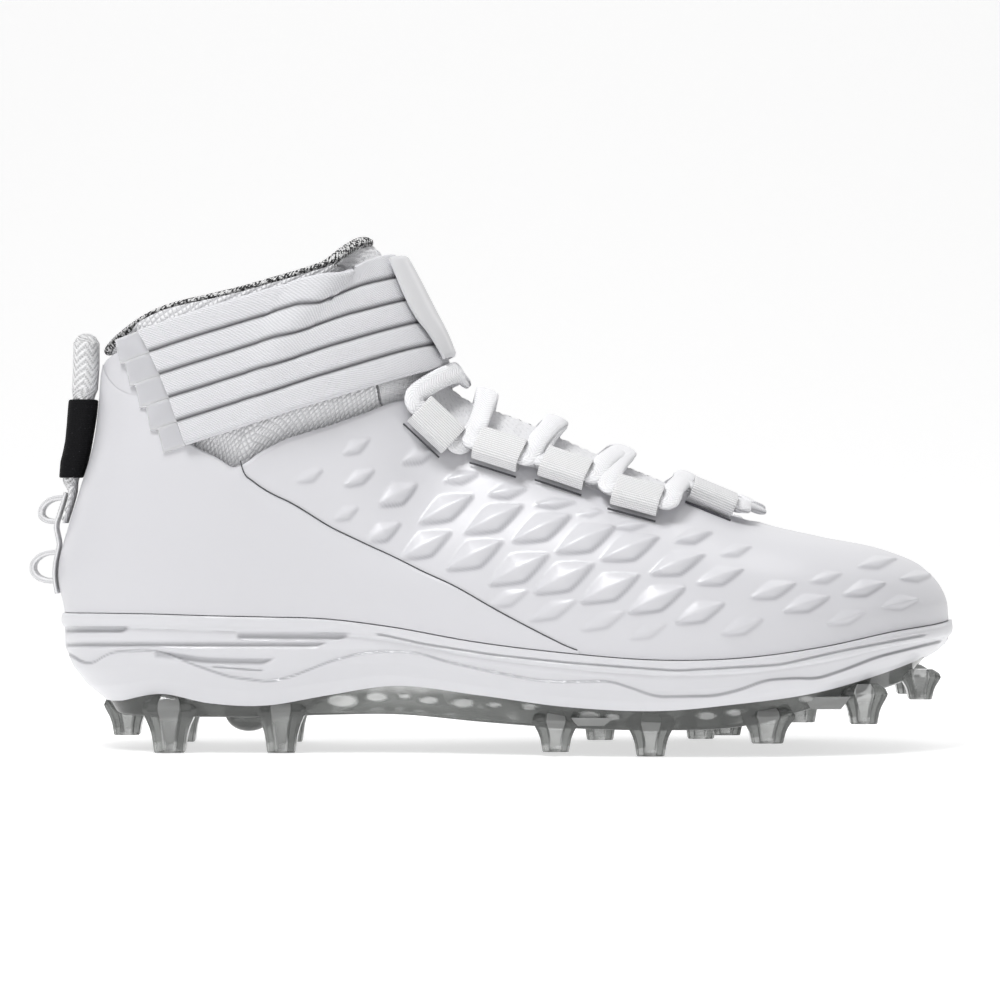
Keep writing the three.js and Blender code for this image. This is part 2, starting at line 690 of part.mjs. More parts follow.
// Tab over the front of the strap, from just outside of the ridge to the inner side
function buildEndTab() {
  const levels = strapLevels();
  const bottom = levels[0][0];
  const top = levels.at(-1)[0];
  const margin = 2.5;
  const edges = [bottom + margin, (bottom + top) / 2, top - margin].map((height) => [height, END_TAB_THICKNESS]);
  const front = edges.map(([height]) => ridgeStation(height) + END_TAB_FRONT);
  return bandSolid({
    levels: edges,
    from: [front[0], front[2]],
    to: END_TAB_REAR,
    seat: STRAP_SEAT + STRAP_THICKNESS + 5 * CLEARANCE,
    nearCount: 2,
    farCount: 9,
  });
}

// Clear tab behind one end of the strap, on the shell
function buildAnchor(side) {
  const levels = strapLevels();
  const bottom = levels[0][0];
  const rise = levels.at(-1)[0] - bottom;
  const triangles = [];
  const grid = steps(0, 1, 3).map((along) => steps(0, 1, 5).map((share) => {
    const edge = STRAP_REAR[0] + (STRAP_REAR[1] - STRAP_REAR[0]) * share;
    const station = edge + 0.03 + (0.28 + 0.4 * share) * along * ANCHOR_LENGTH / 9;
    const height = bottom + rise * share;
    return {
      out: bandPoint(height, station, side, QUARTER_STEP + 2 * CLEARANCE + ANCHOR_THICKNESS),
      in: bandPoint(height, station, side, QUARTER_STEP + 2 * CLEARANCE),
    };
  }));
  sheet(triangles, grid, side < 0, { top: () => false, start: false, end: false });
  return weld(triangles);
}

// Webbing loops and the lace through them
const LOOP_HALF = LACE_DIAMETER / 2 + 2 * CLEARANCE + LOOP_WALL;
const LOOP_SPREAD = 0.08;

function loopFrame(row, side) {
  const [rear, front, share] = row;
  const middle = (rear + front) / 2;
  const along = lastPoint(front, side, share).sub(lastPoint(rear, side, share)).normalize();
  const normal = lastNormal(middle, side, share);
  const across = new THREE.Vector3().crossVectors(normal, along).normalize();
  const out = new THREE.Vector3().crossVectors(along, across).normalize();
  const base = lastPoint(middle, side, share);
  const footprint = [rear, middle, front].flatMap((station) => (
    [-LOOP_SPREAD, 0, LOOP_SPREAD].map((spread) => lastPoint(station, side, share + spread))
  ));
  const rise = Math.max(...footprint.map((point) => point.sub(base).dot(out)));
  const centre = base.addScaledVector(out, rise + 1.5 * CLEARANCE + LOOP_HALF);
  return { centre, along, across, out };
}

function racetrack(shape, reach, half) {
  const straight = reach / 2 - half;
  shape.moveTo(-straight, -half);
  shape.lineTo(straight, -half);
  shape.absarc(straight, 0, half, -Math.PI / 2, Math.PI / 2, false);
  shape.lineTo(-straight, half);
  shape.absarc(-straight, 0, half, Math.PI / 2, 1.5 * Math.PI, false);
  return shape;
}

function buildLoop(row, side) {
  const { centre, along, across, out } = loopFrame(row, side);
  const shape = racetrack(new THREE.Shape(), LOOP_REACH, LOOP_HALF);
  shape.holes.push(racetrack(new THREE.Path(), LOOP_REACH - 2 * LOOP_WALL, LOOP_HALF - LOOP_WALL));
  const geometry = bare(new THREE.ExtrudeGeometry(shape, {
    depth: LOOP_LENGTH, bevelEnabled: false, curveSegments: 3,
  }));
  geometry.translate(0, 0, -LOOP_LENGTH / 2);
  const normal = new THREE.Vector3().crossVectors(across, out);
  geometry.applyMatrix4(new THREE.Matrix4().makeBasis(across, out, normal));
  geometry.translate(centre.x, centre.y, centre.z);
  return geometry;
}

const LACE_SEAT = LACE_DIAMETER / 2 + 4.5 * CLEARANCE;

function laceCurve(firstSide) {
  const reach = LOOP_LENGTH / 2 + 1.9;
  const points = [];
  const over = (station) => points.push(offsetPoint(station, -1, 1, LACE_SEAT));
  const rows = [...LOOPS].reverse();
  let side = firstSide;
  over(3.98);
  rows.forEach((row, i) => {
    const { centre, along, across, out } = loopFrame(row, side);
    const next = rows[i + 1];
    const beside = (run, climb) => centre.clone().addScaledVector(along, run)
      .addScaledVector(across, -side * climb).addScaledVector(out, -0.04 * climb);
    points.push(beside(reach + 0.8, LOOP_REACH / 2 + 3.4));
    for (const share of [1, 0.6, 0, -0.6, -1]) points.push(beside(share * reach, 0));
    points.push(beside(-reach - (next ? 0.8 : 1.8), next ? LOOP_REACH / 2 + 3.4 : 2.5));
    if (next) {
      over((row[0] + next[1]) / 2);
    } else {
      points.push(offsetPoint(8.3, side, 0.93, LACE_SEAT + 1.5));
      over(8.08);
    }
    side = -side;
  });
  return new THREE.CatmullRomCurve3(points, false, "centripetal");
}

function buildLace() {
  const round = new THREE.Shape().absarc(0, 0, LACE_DIAMETER / 2, 0, 2 * Math.PI, false);
  const tube = (side) => toManifold(bare(new THREE.ExtrudeGeometry(round, {
    steps: 50, curveSegments: 3, extrudePath: laceCurve(side),
  })));
  return fromManifold(tube(-1).add(tube(1)));
}

// Heel back line of the shell's outer face at a height
function heelBack(z) {
  const share = solve(0, 1, z, (v) => lastPoint(HEEL_ROW, -1, v).z);
  return lastPoint(HEEL_ROW, -1, Math.min(share, 0.96)).x - QUARTER_STEP;
}

function cordRow(values) {
  const row = Object.fromEntries(CORD_COLUMNS.map((name, i) => [name, values[i]]));
  return { ...row, x: heelBack(row.z) - row.gap - row.thick / 2 };
}

function buildPullLoop() {
  return loft(CORD.map((values) => {
    const { x, z, thick, width } = cordRow(values);
    return roundedRing(x, 0, z, thick / 2, width / 2, 12, 0.8);
  }));
}

function buildSleeve() {
  const rows = CORD.map(cordRow);
  const read = (name, z) => graph(rows.map((row) => [row.z, row[name]]), z);
  const ring = (z, grow) => roundedRing(
    read("x", z), 0, z, read("thick", z) / 2 + grow, read("width", z) / 2 + grow, 12, 0.8,
  );
  const heights = [SLEEVE.low, ...rows.map((row) => row.z).filter((z) => z > SLEEVE.low && z < SLEEVE.high),
    SLEEVE.high];
  const triangles = [];
  const grid = heights.map((z) => [ring(z, CLEARANCE + SLEEVE.wall), ring(z, CLEARANCE)]);
  const last = grid.length - 1;
  for (let j = 0; j < 12; j += 1) {
    const k = (j + 1) % 12;
    for (let i = 0; i < last; i += 1) {
      quad(triangles, grid[i][0][j], grid[i][0][k], grid[i + 1][0][k], grid[i + 1][0][j]);
      quad(triangles, grid[i + 1][1][j], grid[i + 1][1][k], grid[i][1][k], grid[i][1][j]);
    }
    quad(triangles, grid[0][1][j], grid[0][1][k], grid[0][0][k], grid[0][0][j]);
    quad(triangles, grid[last][0][j], grid[last][0][k], grid[last][1][k], grid[last][1][j]);
  }
  return weld(triangles);
}

function buildWebbing() {
  const face = (z) => heelBack(z) - 2 * CLEARANCE - WEB.gap * THREE.MathUtils.smoothstep(z, 68, 74);
  const stand = (z) => WEB_LOOPS.reduce((most, [middle, half, reach]) => {
    const share = 1 - ((z - middle) / half) ** 2;
    return share > 0 ? Math.max(most, reach * Math.sqrt(share)) : most;
  }, 0);
  const heights = [WEB.low, 54.4, ...steps(55.2, 64.8, 8), 65.6, 70, 74.2, ...steps(75, 83, 7), 83.8, WEB.high];
  const outline = heights.map((z) => [face(z) - WEB.wall - stand(z), z]);
  const back = [...heights].reverse().map((z) => [face(z), z]);
  const shape = new THREE.Shape([...outline, ...back].map(([x, z]) => new THREE.Vector2(x, z)));
  const extrude = (flat, depth) => {
    const geometry = bare(new THREE.ExtrudeGeometry(flat, { depth, bevelEnabled: false }));
    geometry.rotateX(Math.PI / 2);
    geometry.translate(0, depth / 2, 0);
    return toManifold(geometry);
  };
  let solid = extrude(shape, WEB.width);
  for (const [middle, half, reach] of WEB_LOOPS) {
    const hole = steps(0, Math.PI, 8).map((angle) => {
      const z = middle - (half - WEB.wall) * Math.cos(angle);
      return new THREE.Vector2(face(z) - WEB.wall - (reach - WEB.wall) * Math.sin(angle), z);
    });
    solid = solid.subtract(extrude(new THREE.Shape(hole), 2 * WEB.width));
  }
  return fromManifold(solid);
}

function finish(color, roughness, opacity = 1) {
  return new THREE.MeshStandardMaterial({ color, roughness, metalness: 0, opacity, transparent: opacity < 1 });
}

const shoe = new THREE.Group();
shoe.name = "football_cleat";

function add(name, geometry, material) {
  const mesh = new THREE.Mesh(geometry, material);
  mesh.name = name;
  shoe.add(mesh);
}

add("outsole", buildOutsole(), finish(0xb4b7b2, 0.15, 0.7));
add("midsole", buildMidsole(), finish(0xf1f1f4, 0.4));
add("insole", buildInsole(), finish(0xd8d8da, 0.9));
add("upper", buildUpper(), finish(0xf2f2f5, 0.35));
add("collar", buildCollar(), finish(0xefeff0, 0.95));
add("tongue", buildTongue(), finish(0xececee, 0.95));
add("ankle_strap", buildStrap(), finish(0xe6e6ea, 0.85));
add("strap_end", buildEndTab(), finish(0xdcdedb, 0.6));
for (const [word, side] of [["lateral", -1], ["medial", 1]]) {
  add(`strap_anchor_${word}`, buildAnchor(side), finish(0xe9e9ee, 0.25, 0.6));
  LOOPS.forEach((row, i) => {
    add(`lace_loop_${word}_${i + 1}`, buildLoop(row, side), finish(0xf0f0f2, 0.8));
  });
}
add("lace", buildLace(), finish(0xf4f4f6, 0.85));
add("pull_loop", buildPullLoop(), finish(0xf0f0f0, 0.9));
add("pull_loop_sleeve", buildSleeve(), finish(0x111112, 0.75));
add("heel_webbing", buildWebbing(), finish(0xf2f2f3, 0.8));

// Origin under the middle of the shoe's box
const box = new THREE.Box3().setFromObject(shoe);
const centre = box.getCenter(new THREE.Vector3());
for (const mesh of shoe.children) mesh.geometry.translate(-centre.x, -centre.y, -box.min.z);

export default shoe;
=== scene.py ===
"""High-cut american football cleat, right foot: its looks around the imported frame."""

import bmesh
import bpy
import numpy as np
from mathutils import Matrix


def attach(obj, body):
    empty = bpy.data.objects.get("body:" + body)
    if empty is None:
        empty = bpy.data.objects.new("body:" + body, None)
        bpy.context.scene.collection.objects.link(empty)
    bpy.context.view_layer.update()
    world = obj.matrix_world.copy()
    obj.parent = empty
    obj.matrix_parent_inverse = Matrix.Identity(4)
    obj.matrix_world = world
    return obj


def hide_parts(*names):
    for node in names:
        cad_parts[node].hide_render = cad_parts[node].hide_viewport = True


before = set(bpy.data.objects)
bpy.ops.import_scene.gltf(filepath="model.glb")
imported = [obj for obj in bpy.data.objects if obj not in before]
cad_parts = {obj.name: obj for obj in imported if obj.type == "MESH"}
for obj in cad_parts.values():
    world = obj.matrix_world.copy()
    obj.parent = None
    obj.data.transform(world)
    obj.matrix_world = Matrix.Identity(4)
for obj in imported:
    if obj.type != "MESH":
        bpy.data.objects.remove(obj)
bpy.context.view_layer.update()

# Driving sizes in millimetres, in the last's own frame
SOLE_LENGTH = 298
BALL_WIDTH = 103
HEEL_HEIGHT = 45
ANKLE_RISE = 122
SHELL_WALL = 1.8
SOCK_WALL = 2.6
TONGUE_WALL = 3.6
SOCK_GAP = 1.2
RIM_DEPTH = 3
SOLE_RIM = 1.6
BED_DEPTH = 3
CLEARANCE = 0.3
STRAP_SEAT = 1.2
STRAP_THICKNESS = 2.4
STRAP_SLOPE = 0.32
STRAP_WIDTH = 37
STRAP_HEIGHT = 85.5
STRAP_BANDS = 5
STRAP_BEND = 11.4
GROOVE_DEPTH = 0.9
END_TAB_THICKNESS = 1.6
LACE_DIAMETER = 4.8
LACE_WIDTH = 8.0
LACE_THICKNESS = 2.9
LOOP_LENGTH = 15.5
LOOP_REACH = 11.5
LOOP_WALL = 1.1
LOOP_HALF = LACE_DIAMETER / 2 + 2 * CLEARANCE + LOOP_WALL
LACE_SEAT = LACE_DIAMETER / 2 + 4.5 * CLEARANCE

# Reach in which points of a mesh join, steps of a search, and how a band is drawn round the front
MERGE_REACH = 0.02
SEARCH_STEPS = 34
DRAW_PASSES = 260
DRAW_SINK = 0.4
DRAW_BULGE = 2.8

# Place of the frame's origin in the last's own frame
ORIGIN = np.array([144.072, -0.966, 0.0])

# The view: distance from the shoe's middle plane, height above ground, place along the shoe, lens and sensor
VIEW_DISTANCE = 1050
VIEW_HEIGHT = 82.2
VIEW_ALONG = 145.67
SENSOR = 36
FRAME_SIDE = 1000
PIXELS_PER_MM = 3

# Rows of the last from the toe tip to the heel back, in percent of the driving sizes: x and y of the feather
# edge on the lateral and medial side, its height, x of the top line, its middle and spread, its height above
# the heel, three in and up pairs of the side's curve, and how far the plan turns square to the ridge
LAST = np.array([
    [99.5, 8.7, 99.5, 8.7, 93.8, 95.5, 7.8, 0, 13.4, 6, 34, 30, 64, 66, 87, 0],
    [97, -12.6, 97.7, 25.2, 92, 93.6, 7.8, 0, 15.4, 3, 34, 24, 66, 62, 90, 0],
    [91.3, -32, 93, 36.9, 88.2, 90.3, 7.8, 0, 18, 1, 34, 18, 68, 55, 92, 0],
    [83.2, -43.7, 84.6, 44.2, 78.4, 84.6, 7.3, 0, 20.7, 0, 33, 13, 68, 46, 92, 0],
    [74.5, -48.5, 75.5, 47.1, 71.3, 77.2, 6.8, 0, 25.2, -1, 32, 11, 66, 42, 90, 0],
    [65.4, -48.5, 66.4, 45.1, 70, 68.8, 5.8, 0, 34.3, -0.5, 30, 12, 62, 42, 88, 0],
    [55.7, -45.1, 56.4, 39.3, 74.7, 60.4, 4.4, 0, 42.8, 1, 28, 16, 58, 46, 86, 0],
    [46.3, -39.8, 46.3, 33.5, 81.8, 51.7, 2.9, 0, 52.2, 3, 26, 20, 54, 50, 84, 40],
    [37.6, -35, 37.6, 30.1, 91.6, 44, 1.5, 0, 60.3, 5, 25, 25, 52, 54, 83, 80],
    [30.2, -33.3, 30.2, 30.1, 97.6, 40.4, 0.5, 0, 77, 4, 25, 18, 56, 46, 85, 100],
    [23.5, -33.3, 23.5, 31.1, 99.1, 34.8, 0, 0, 100, 3, 24, 14, 54, 42, 82, 100],
    [17.4, -33.5, 17.4, 32.2, 100, 30.2, 0, 20.4, 93.3, 3, 24, 18, 52, 48, 80, 50],
    [11.7, -32, 11.7, 31.1, 101.1, 20.1, 0, 26.2, 85.7, 2, 22, 26, 49, 60, 75, 0],
    [6, -26.7, 6, 25.7, 101.3, 11.7, 0, 22.5, 81, -1, 20, 30, 47, 68, 71, 0],
    [2, -16, 2, 15, 100.7, 6.5, 0, 12.6, 74.2, -10, 19, 36, 46, 78, 68, 0],
    [0.4, 0, 0.4, 0, 100, 4.6, 0, 0, 70.5, -16, 18, 38, 46, 80, 68, 0],
])
RIDGE_END = 10
HEEL_ROW = len(LAST) - 1
RING_ROWS = 2 * HEEL_ROW

# Sole sections at the same rows: heights of the parting of white wall and clear plate and of the plate's
# underside in percent of the heel height, then their insets in percent of the ball width
SOLE = np.array([
    [66, 52, 7.5, 12], [65, 48, 7, 11], [57, 42, 6, 10], [45.5, 32, 5, 9], [38.5, 20.5, 4.5, 8],
    [33.5, 18.5, 4, 7.5], [36, 19.5, 4, 7.5], [43.5, 23, 4.5, 8], [49.5, 27.5, 5, 8.5],
    [42.5, 27, 5, 8.5], [35, 25.5, 5, 8.5], [36.5, 25.5, 5, 8.5], [43, 25.5, 6, 9],
    [37.5, 25.5, 9, 11.5], [36.5, 25.5, 12, 14.5], [35.5, 25.5, 12.7, 15],
])

# Rows against shares of the height
SHELL_EDGE = [[0, 1], [3.9, 1], [4, 0.95], [4.25, 0.91], [4.8, 0.87], [5.05, 0.78], [5.6, 0.74], [6, 0.74],
              [7, 0.74], [8, 0.75], [8.6, 0.74], [8.85, 0.67], [9.2, 0.57], [9.65, 0.47], [10.25, 0.42],
              [10.55, 0.42], [10.8, 0.39], [11.2, 0.44], [11.9, 0.53], [12.55, 0.72], [13, 0.84],
              [13.3, 0.92], [13.7, 0.955], [14.65, 0.97], [15, 0.97]]
SEAM = [[0, 0], [5.8, 0], [6.5, 0.11], [7.25, 0.22], [8.1, 0.28], [9.1, 0.29], [10.15, 0.32], [10.8, 0.39],
        [11, 0.5], [15, 1]]
TONGUE_EDGE = [[0, 0.7], [4.35, 0.72], [5, 0.66], [7, 0.6], [8, 0.58], [9, 0.66], [10, 0.8], [10.8, 0.97],
               [11, 1], [15, 1]]
COLLAR_FOOT = [[8, 0.42], [9, 0.42], [10, 0.34], [10.65, 0.3], [11.2, 0.34], [12, 0.42], [13, 0.55],
               [14, 0.62], [15, 0.62]]
SEAM_START = 5.8
TONGUE_FRONT = 3.9
COLLAR_FRONT = 8.2
TONGUE_CORNER = 10.8
SWELL_START = 0.012
SWELL_RUN = 0.06

# Lacing: rows at the rear and front end of each webbing loop, and the share of height at its middle
LOOPS = [[8.5, 7.8, 0.715], [7.35, 6.8, 0.725], [6.5, 5.95, 0.735], [5.6, 5.05, 0.7], [4.8, 4.25, 0.87]]
STRAP_REAR = [11.88, 13.28]
END_TAB_REAR = [10.9, 11.5]
END_TAB_FRONT = 0.12

# Raised scales of the vamp as the side view shows them: centre, length and width in pixels of the view,
# tilt in degrees and height in millimetres
SCALES = [
    [310, 476, 26, 12, 26, 0.5], [356, 447, 28, 13, 30, 0.6], [359, 478, 32, 13, 28, 0.7],
    [346, 514, 26, 12, 28, 0.5], [419, 456, 34, 14, 22, 0.8], [461, 478, 32, 11, 12, 0.7],
    [507, 492, 36, 13, 10, 0.8], [554, 504, 38, 9, 4, 0.7], [590, 513, 24, 8, 8, 0.4],
    [630, 526, 34, 9, 6, 0.6], [398, 495, 40, 20, 28, 1.0], [446, 510, 54, 22, 27, 1.3],
    [494, 520, 56, 23, 26, 1.4], [542, 529, 58, 23, 25, 1.4], [586, 540, 58, 24, 24, 1.4],
    [630, 549, 56, 23, 22, 1.3], [677, 565, 52, 20, 20, 1.2], [720, 577, 44, 16, 18, 0.9],
    [383, 533, 36, 17, 28, 0.9], [426, 546, 52, 22, 28, 1.2], [475, 556, 56, 24, 27, 1.4],
    [519, 570, 60, 25, 27, 1.4], [564, 579, 60, 25, 26, 1.4], [610, 589, 58, 24, 25, 1.3],
    [657, 600, 56, 22, 24, 1.2], [700, 613, 48, 18, 22, 0.9], [742, 627, 40, 14, 20, 0.6],
    [508, 599, 40, 14, 22, 0.6], [553, 611, 46, 15, 24, 0.6], [604, 621, 44, 14, 24, 0.5],
    [648, 632, 36, 12, 22, 0.35], [693, 537, 36, 13, 14, 0.8], [736, 551, 30, 11, 16, 0.5],
    [773, 591, 44, 15, 18, 0.8], [806, 604, 44, 15, 18, 0.8], [826, 578, 30, 10, 16, 0.5],
    [864, 589, 40, 14, 16, 0.8], [877, 563, 36, 11, 12, 0.6], [917, 577, 32, 10, 8, 0.5],
    [846, 618, 36, 12, 18, 0.5], [900, 603, 34, 12, 12, 0.5],
]

SCALE_GROWTH = 1.16
SCALE_RISE = 1.55
# Strength of the painted shadow under each scale
SCALE_SHADOW = 0.62

# Lines of the white sole wall in the side view: pixels along each, half width in pixels and depth in
# millimetres
WALL_LINES = [
    [[(58, 630), (125, 630)], 2.6, 0.9],
    [[(64, 645), (322, 645)], 2.8, 0.9],
    [[(238, 636), (345, 637)], 3.4, 0.8],
    [[(156, 654), (204, 661), (268, 662)], 3.2, 0.8],
    [[(212, 667), (262, 671)], 1.1, 0.4],
    [[(377, 634), (421, 644), (491, 655), (568, 663), (676, 671), (780, 665), (841, 651), (925, 635)],
     1.5, 0.6],
]
WAVE = [(60, 650), (77, 658), (88, 667), (98, 660), (110, 652), (154, 650), (192, 664), (229, 677),
        (269, 682),
        (291, 677), (328, 662), (361, 653), (393, 651), (420, 653), (444, 661), (478, 669), (534, 680),
        (561, 682), (610, 681), (640, 691), (656, 697), (715, 696), (740, 690), (766, 680), (800, 678),
        (816, 679), (841, 671), (877, 657), (913, 648), (951, 639)]

# Light oval windows along the clear plate's edge: centre and half length in pixels of the view
WINDOWS = [(192, 698, 7), (212, 698, 7), (236, 699, 7), (255, 699, 5), (343, 701, 16), (377, 697, 11),
           (405, 696, 7), (429, 700, 10), (463, 703, 12), (494, 705, 7), (529, 707, 8), (588, 716, 12),
           (612, 717, 8), (706, 716, 10), (734, 713, 8), (806, 699, 8)]

# Studs: places in percent of sole length and ball width, tip length, tip width and tip height
STUDS = [
    [7.2, 0, 8.5, 7, 4], [12.8, -23.3, 10, 7, 0], [12.4, 22.3, 10, 7, 0], [25, -23.3, 9.2, 7, 0],
    [24.8, 22.3, 9.2, 7, 0], [54.9, -35, 8.6, 6.5, 1.2], [60.4, 30, 9, 7, 0], [65.1, -37, 9, 7, 0],
    [72.1, 35, 9, 7, 0], [74.2, 0, 9, 6.5, 3.9], [77.7, -37, 10, 7, 4.1], [83.6, 33, 9.5, 7, 5.8],
    [88.4, -29, 8.6, 6.5, 9.7], [95.6, -6, 7.5, 6, 16.2], [95.6, 23, 7.5, 6, 16.2],
]
STUD_HEIGHT = 14
STUD_LENGTHS = [[0, 0.94], [0.03, 1], [0.4, 1.14], [0.62, 1.32], [0.8, 1.55], [1, 1.78], [1.2, 1.6],
                [1.35, 1.1]]
STUD_WIDTHS = [[0, 0.94], [0.03, 1], [0.4, 1.1], [0.75, 1.2], [1, 1.25], [1.2, 1.05], [1.35, 0.7]]

# Outline of a stud in a quarter turn, shares of its half sizes, with the rib of its long face
STUD_CORNERS = [(1.0, 0.3), (1.0, 0.72), (0.82, 0.95), (0.46, 0.95), (0.36, 1.2)]

# Blades at the lateral edge of the forefoot: rear and front end and lower edge
BLADES = [[170.5, 179, 9.8], [245.7, 255.4, 14.8]]
POD = {"x": 20.8, "radius": 8, "drop": 6.3}

# Pull loop: height, distance from the shell, thickness and width
CORD = [[74.5, 0.9, 1.4, 11], [80, 0.9, 1.6, 12], [85, 1, 2.6, 12], [88.5, 1.7, 5, 11], [95, 1.8, 6.4, 11],
        [105, 1.8, 7, 11], [116.5, 1.8, 7, 11], [119, 0.9, 8.4, 12], [128, 0.9, 8.6, 12.5],
        [134.5, 0.9, 8.4, 12.5], [136.8, 2.2, 5.6, 9.5], [137.6, 3.8, 2.4, 5]]
SLEEVE = {"low": 89.6, "high": 115.6, "wall": 0.9}
WEB_LOOPS = [[60, 5.6, 6.4], [79, 4.8, 5.4]]
WEB = {"low": 51, "high": 84.6, "width": 8, "wall": 1.6, "gap": 3.2}


def graph(table, place):
    pairs = np.array(table, float)
    return np.interp(place, pairs[:, 0], pairs[:, 1])


def soft_graph(table, place, reach=0.22):
    """Values of a table with its corners rounded."""
    return np.mean([graph(table, np.asarray(place) + step) for step in np.linspace(-reach, reach, 9)], axis=0)


def smooth_step(value, low, high):
    t = np.clip((value - low) / (high - low), 0, 1)
    return t * t * (3 - 2 * t)


def spline(a, b, c, d, t):
    return 0.5 * (2 * b + (c - a) * t + (2 * a - 5 * b + 4 * c - d) * t**2 + (3 * b - a - 3 * c + d) * t**3)


def shell_top(place):
    """Share of height of the shell's edge, its corners rounded behind the throat."""
    behind = smooth_step(place, 8.6, 9.2)
    return graph(SHELL_EDGE, place) * (1 - behind) + soft_graph(SHELL_EDGE, place) * behind


def closed_ring(read):
    """Rows of a ring: lateral rows 0 to 15, then the medial rows back to the toe tip."""
    ring = []
    for k in range(RING_ROWS):
        medial = k > HEEL_ROW
        ring.append(read(RING_ROWS - k if medial else k, 1 if medial else -1))
    return np.array(ring)


def last_row(k, side):
    v = LAST[k] / 100
    x, y = (v[2], v[3]) if side > 0 else (v[0], v[1])
    return [x * SOLE_LENGTH, y * BALL_WIDTH, v[4] * HEEL_HEIGHT, v[5] * SOLE_LENGTH,
            (v[6] + side * v[7]) * BALL_WIDTH, HEEL_HEIGHT + v[8] * ANKLE_RISE, *v[9:16]]


def sole_row(k, side):
    v = SOLE[k] / 100
    return [v[0] * HEEL_HEIGHT, v[1] * HEEL_HEIGHT, v[2] * BALL_WIDTH, v[3] * BALL_WIDTH]


LAST_RING = closed_ring(last_row)
SOLE_RING = closed_ring(sole_row)


def ring_at(ring, place):
    base = np.floor(place).astype(int)
    a, b, c, d = (ring[(base + step) % RING_ROWS] for step in (-1, 0, 1, 2))
    return spline(a, b, c, d, (place - base)[..., None])


def last_point(station, side, share):
    """Points of the last's surface; share 0 at the feather edge, 1 on the ridge or the collar's rim."""
    station, side, share = np.broadcast_arrays(*(np.asarray(v, float) for v in (station, side, share)))
    side = np.where((station < 0) | (station > HEEL_ROW), -side, side)
    station = np.where(station < 0, -station, station)
    station = np.where(station > HEEL_ROW, 2 * HEEL_ROW - station, station)
    over = (share > 1) & (station <= RIDGE_END)
    side = np.where(over, -side, side)
    share = np.where(over, 2 - share, share)
    row = ring_at(LAST_RING, np.where(side < 0, station, RING_ROWS - station))
    foot, top = row[..., 0:3], row[..., 3:6]
    in1, up1, in2, up2, in3, up3, square = (row[..., 6 + i] for i in range(7))
    crown = np.clip(RIDGE_END + 1 - station, 0, 1)
    zero, one = np.zeros_like(in1), np.ones_like(in1)
    inward = np.stack([-in1, zero, in1, in2, in3, one, 2 - in3], -1)
    up = np.stack([-up1, zero, up1, up2, up3, one, (2 - up3) * (1 - crown) + up3 * crown], -1)
    scaled = np.clip(share, -0.2, 1.2) * 4
    base = np.clip(np.floor(scaled), 0, 3).astype(int)

    def at(values):
        four = (np.take_along_axis(values, (base + i)[..., None], -1)[..., 0] for i in range(4))
        return spline(*four, scaled - base)

    along, height = at(inward), at(up)
    forward = along + square * along * (1 - along)
    return foot + (top - foot) * np.stack([forward, along, height], -1)


def unit(vectors):
    return vectors / np.maximum(np.linalg.norm(vectors, axis=-1, keepdims=True), 1e-9)


def last_normal(station, side, share):
    step = 0.04
    along = last_point(station + step, side, share) - last_point(station - step, side, share)
    up = last_point(station, side, share + step) - last_point(station, side, share - step)
    return unit(np.cross(along, up)) * np.where(np.asarray(side) < 0, -1, 1)[..., None]


def offset_point(station, side, share, offset):
    station, side, share, offset = np.broadcast_arrays(
        *(np.asarray(v, float) for v in (station, side, share, offset)))
    meets = ((share >= 1) & (station <= RIDGE_END)) | (station == 0) | (station == HEEL_ROW)
    side = np.where(meets, -1, side)
    turned = np.where(share > 0.9, np.maximum(station, 0.3), station)
    return last_point(station, side, share) + last_normal(turned, side, share) * offset[..., None]


def sole_section(place):
    parting, under, parting_inset, under_inset = np.moveaxis(ring_at(SOLE_RING, place), -1, 0)
    return {"feather": ring_at(LAST_RING, place)[..., 2], "parting": parting, "under": under,
            "parting_inset": parting_inset, "under_inset": under_inset}


def sole_point(place, inset, height):
    ahead = ring_at(LAST_RING, place + 0.05)[..., :2]
    behind = ring_at(LAST_RING, place - 0.05)[..., :2]
    along = unit(ahead - behind)
    foot = ring_at(LAST_RING, place)[..., :2]
    return np.stack([foot[..., 0] + along[..., 1] * inset, foot[..., 1] - along[..., 0] * inset, height], -1)


def view_pixels(points):
    """Where the side view shows points of the near side; the far side is read as its mirror image."""
    scale = PIXELS_PER_MM * VIEW_DISTANCE / (VIEW_DISTANCE - np.abs(points[..., 1] - ORIGIN[1]))
    half = FRAME_SIDE / 2
    return half + (points[..., 0] - VIEW_ALONG) * scale, half - (points[..., 2] - VIEW_HEIGHT) * scale


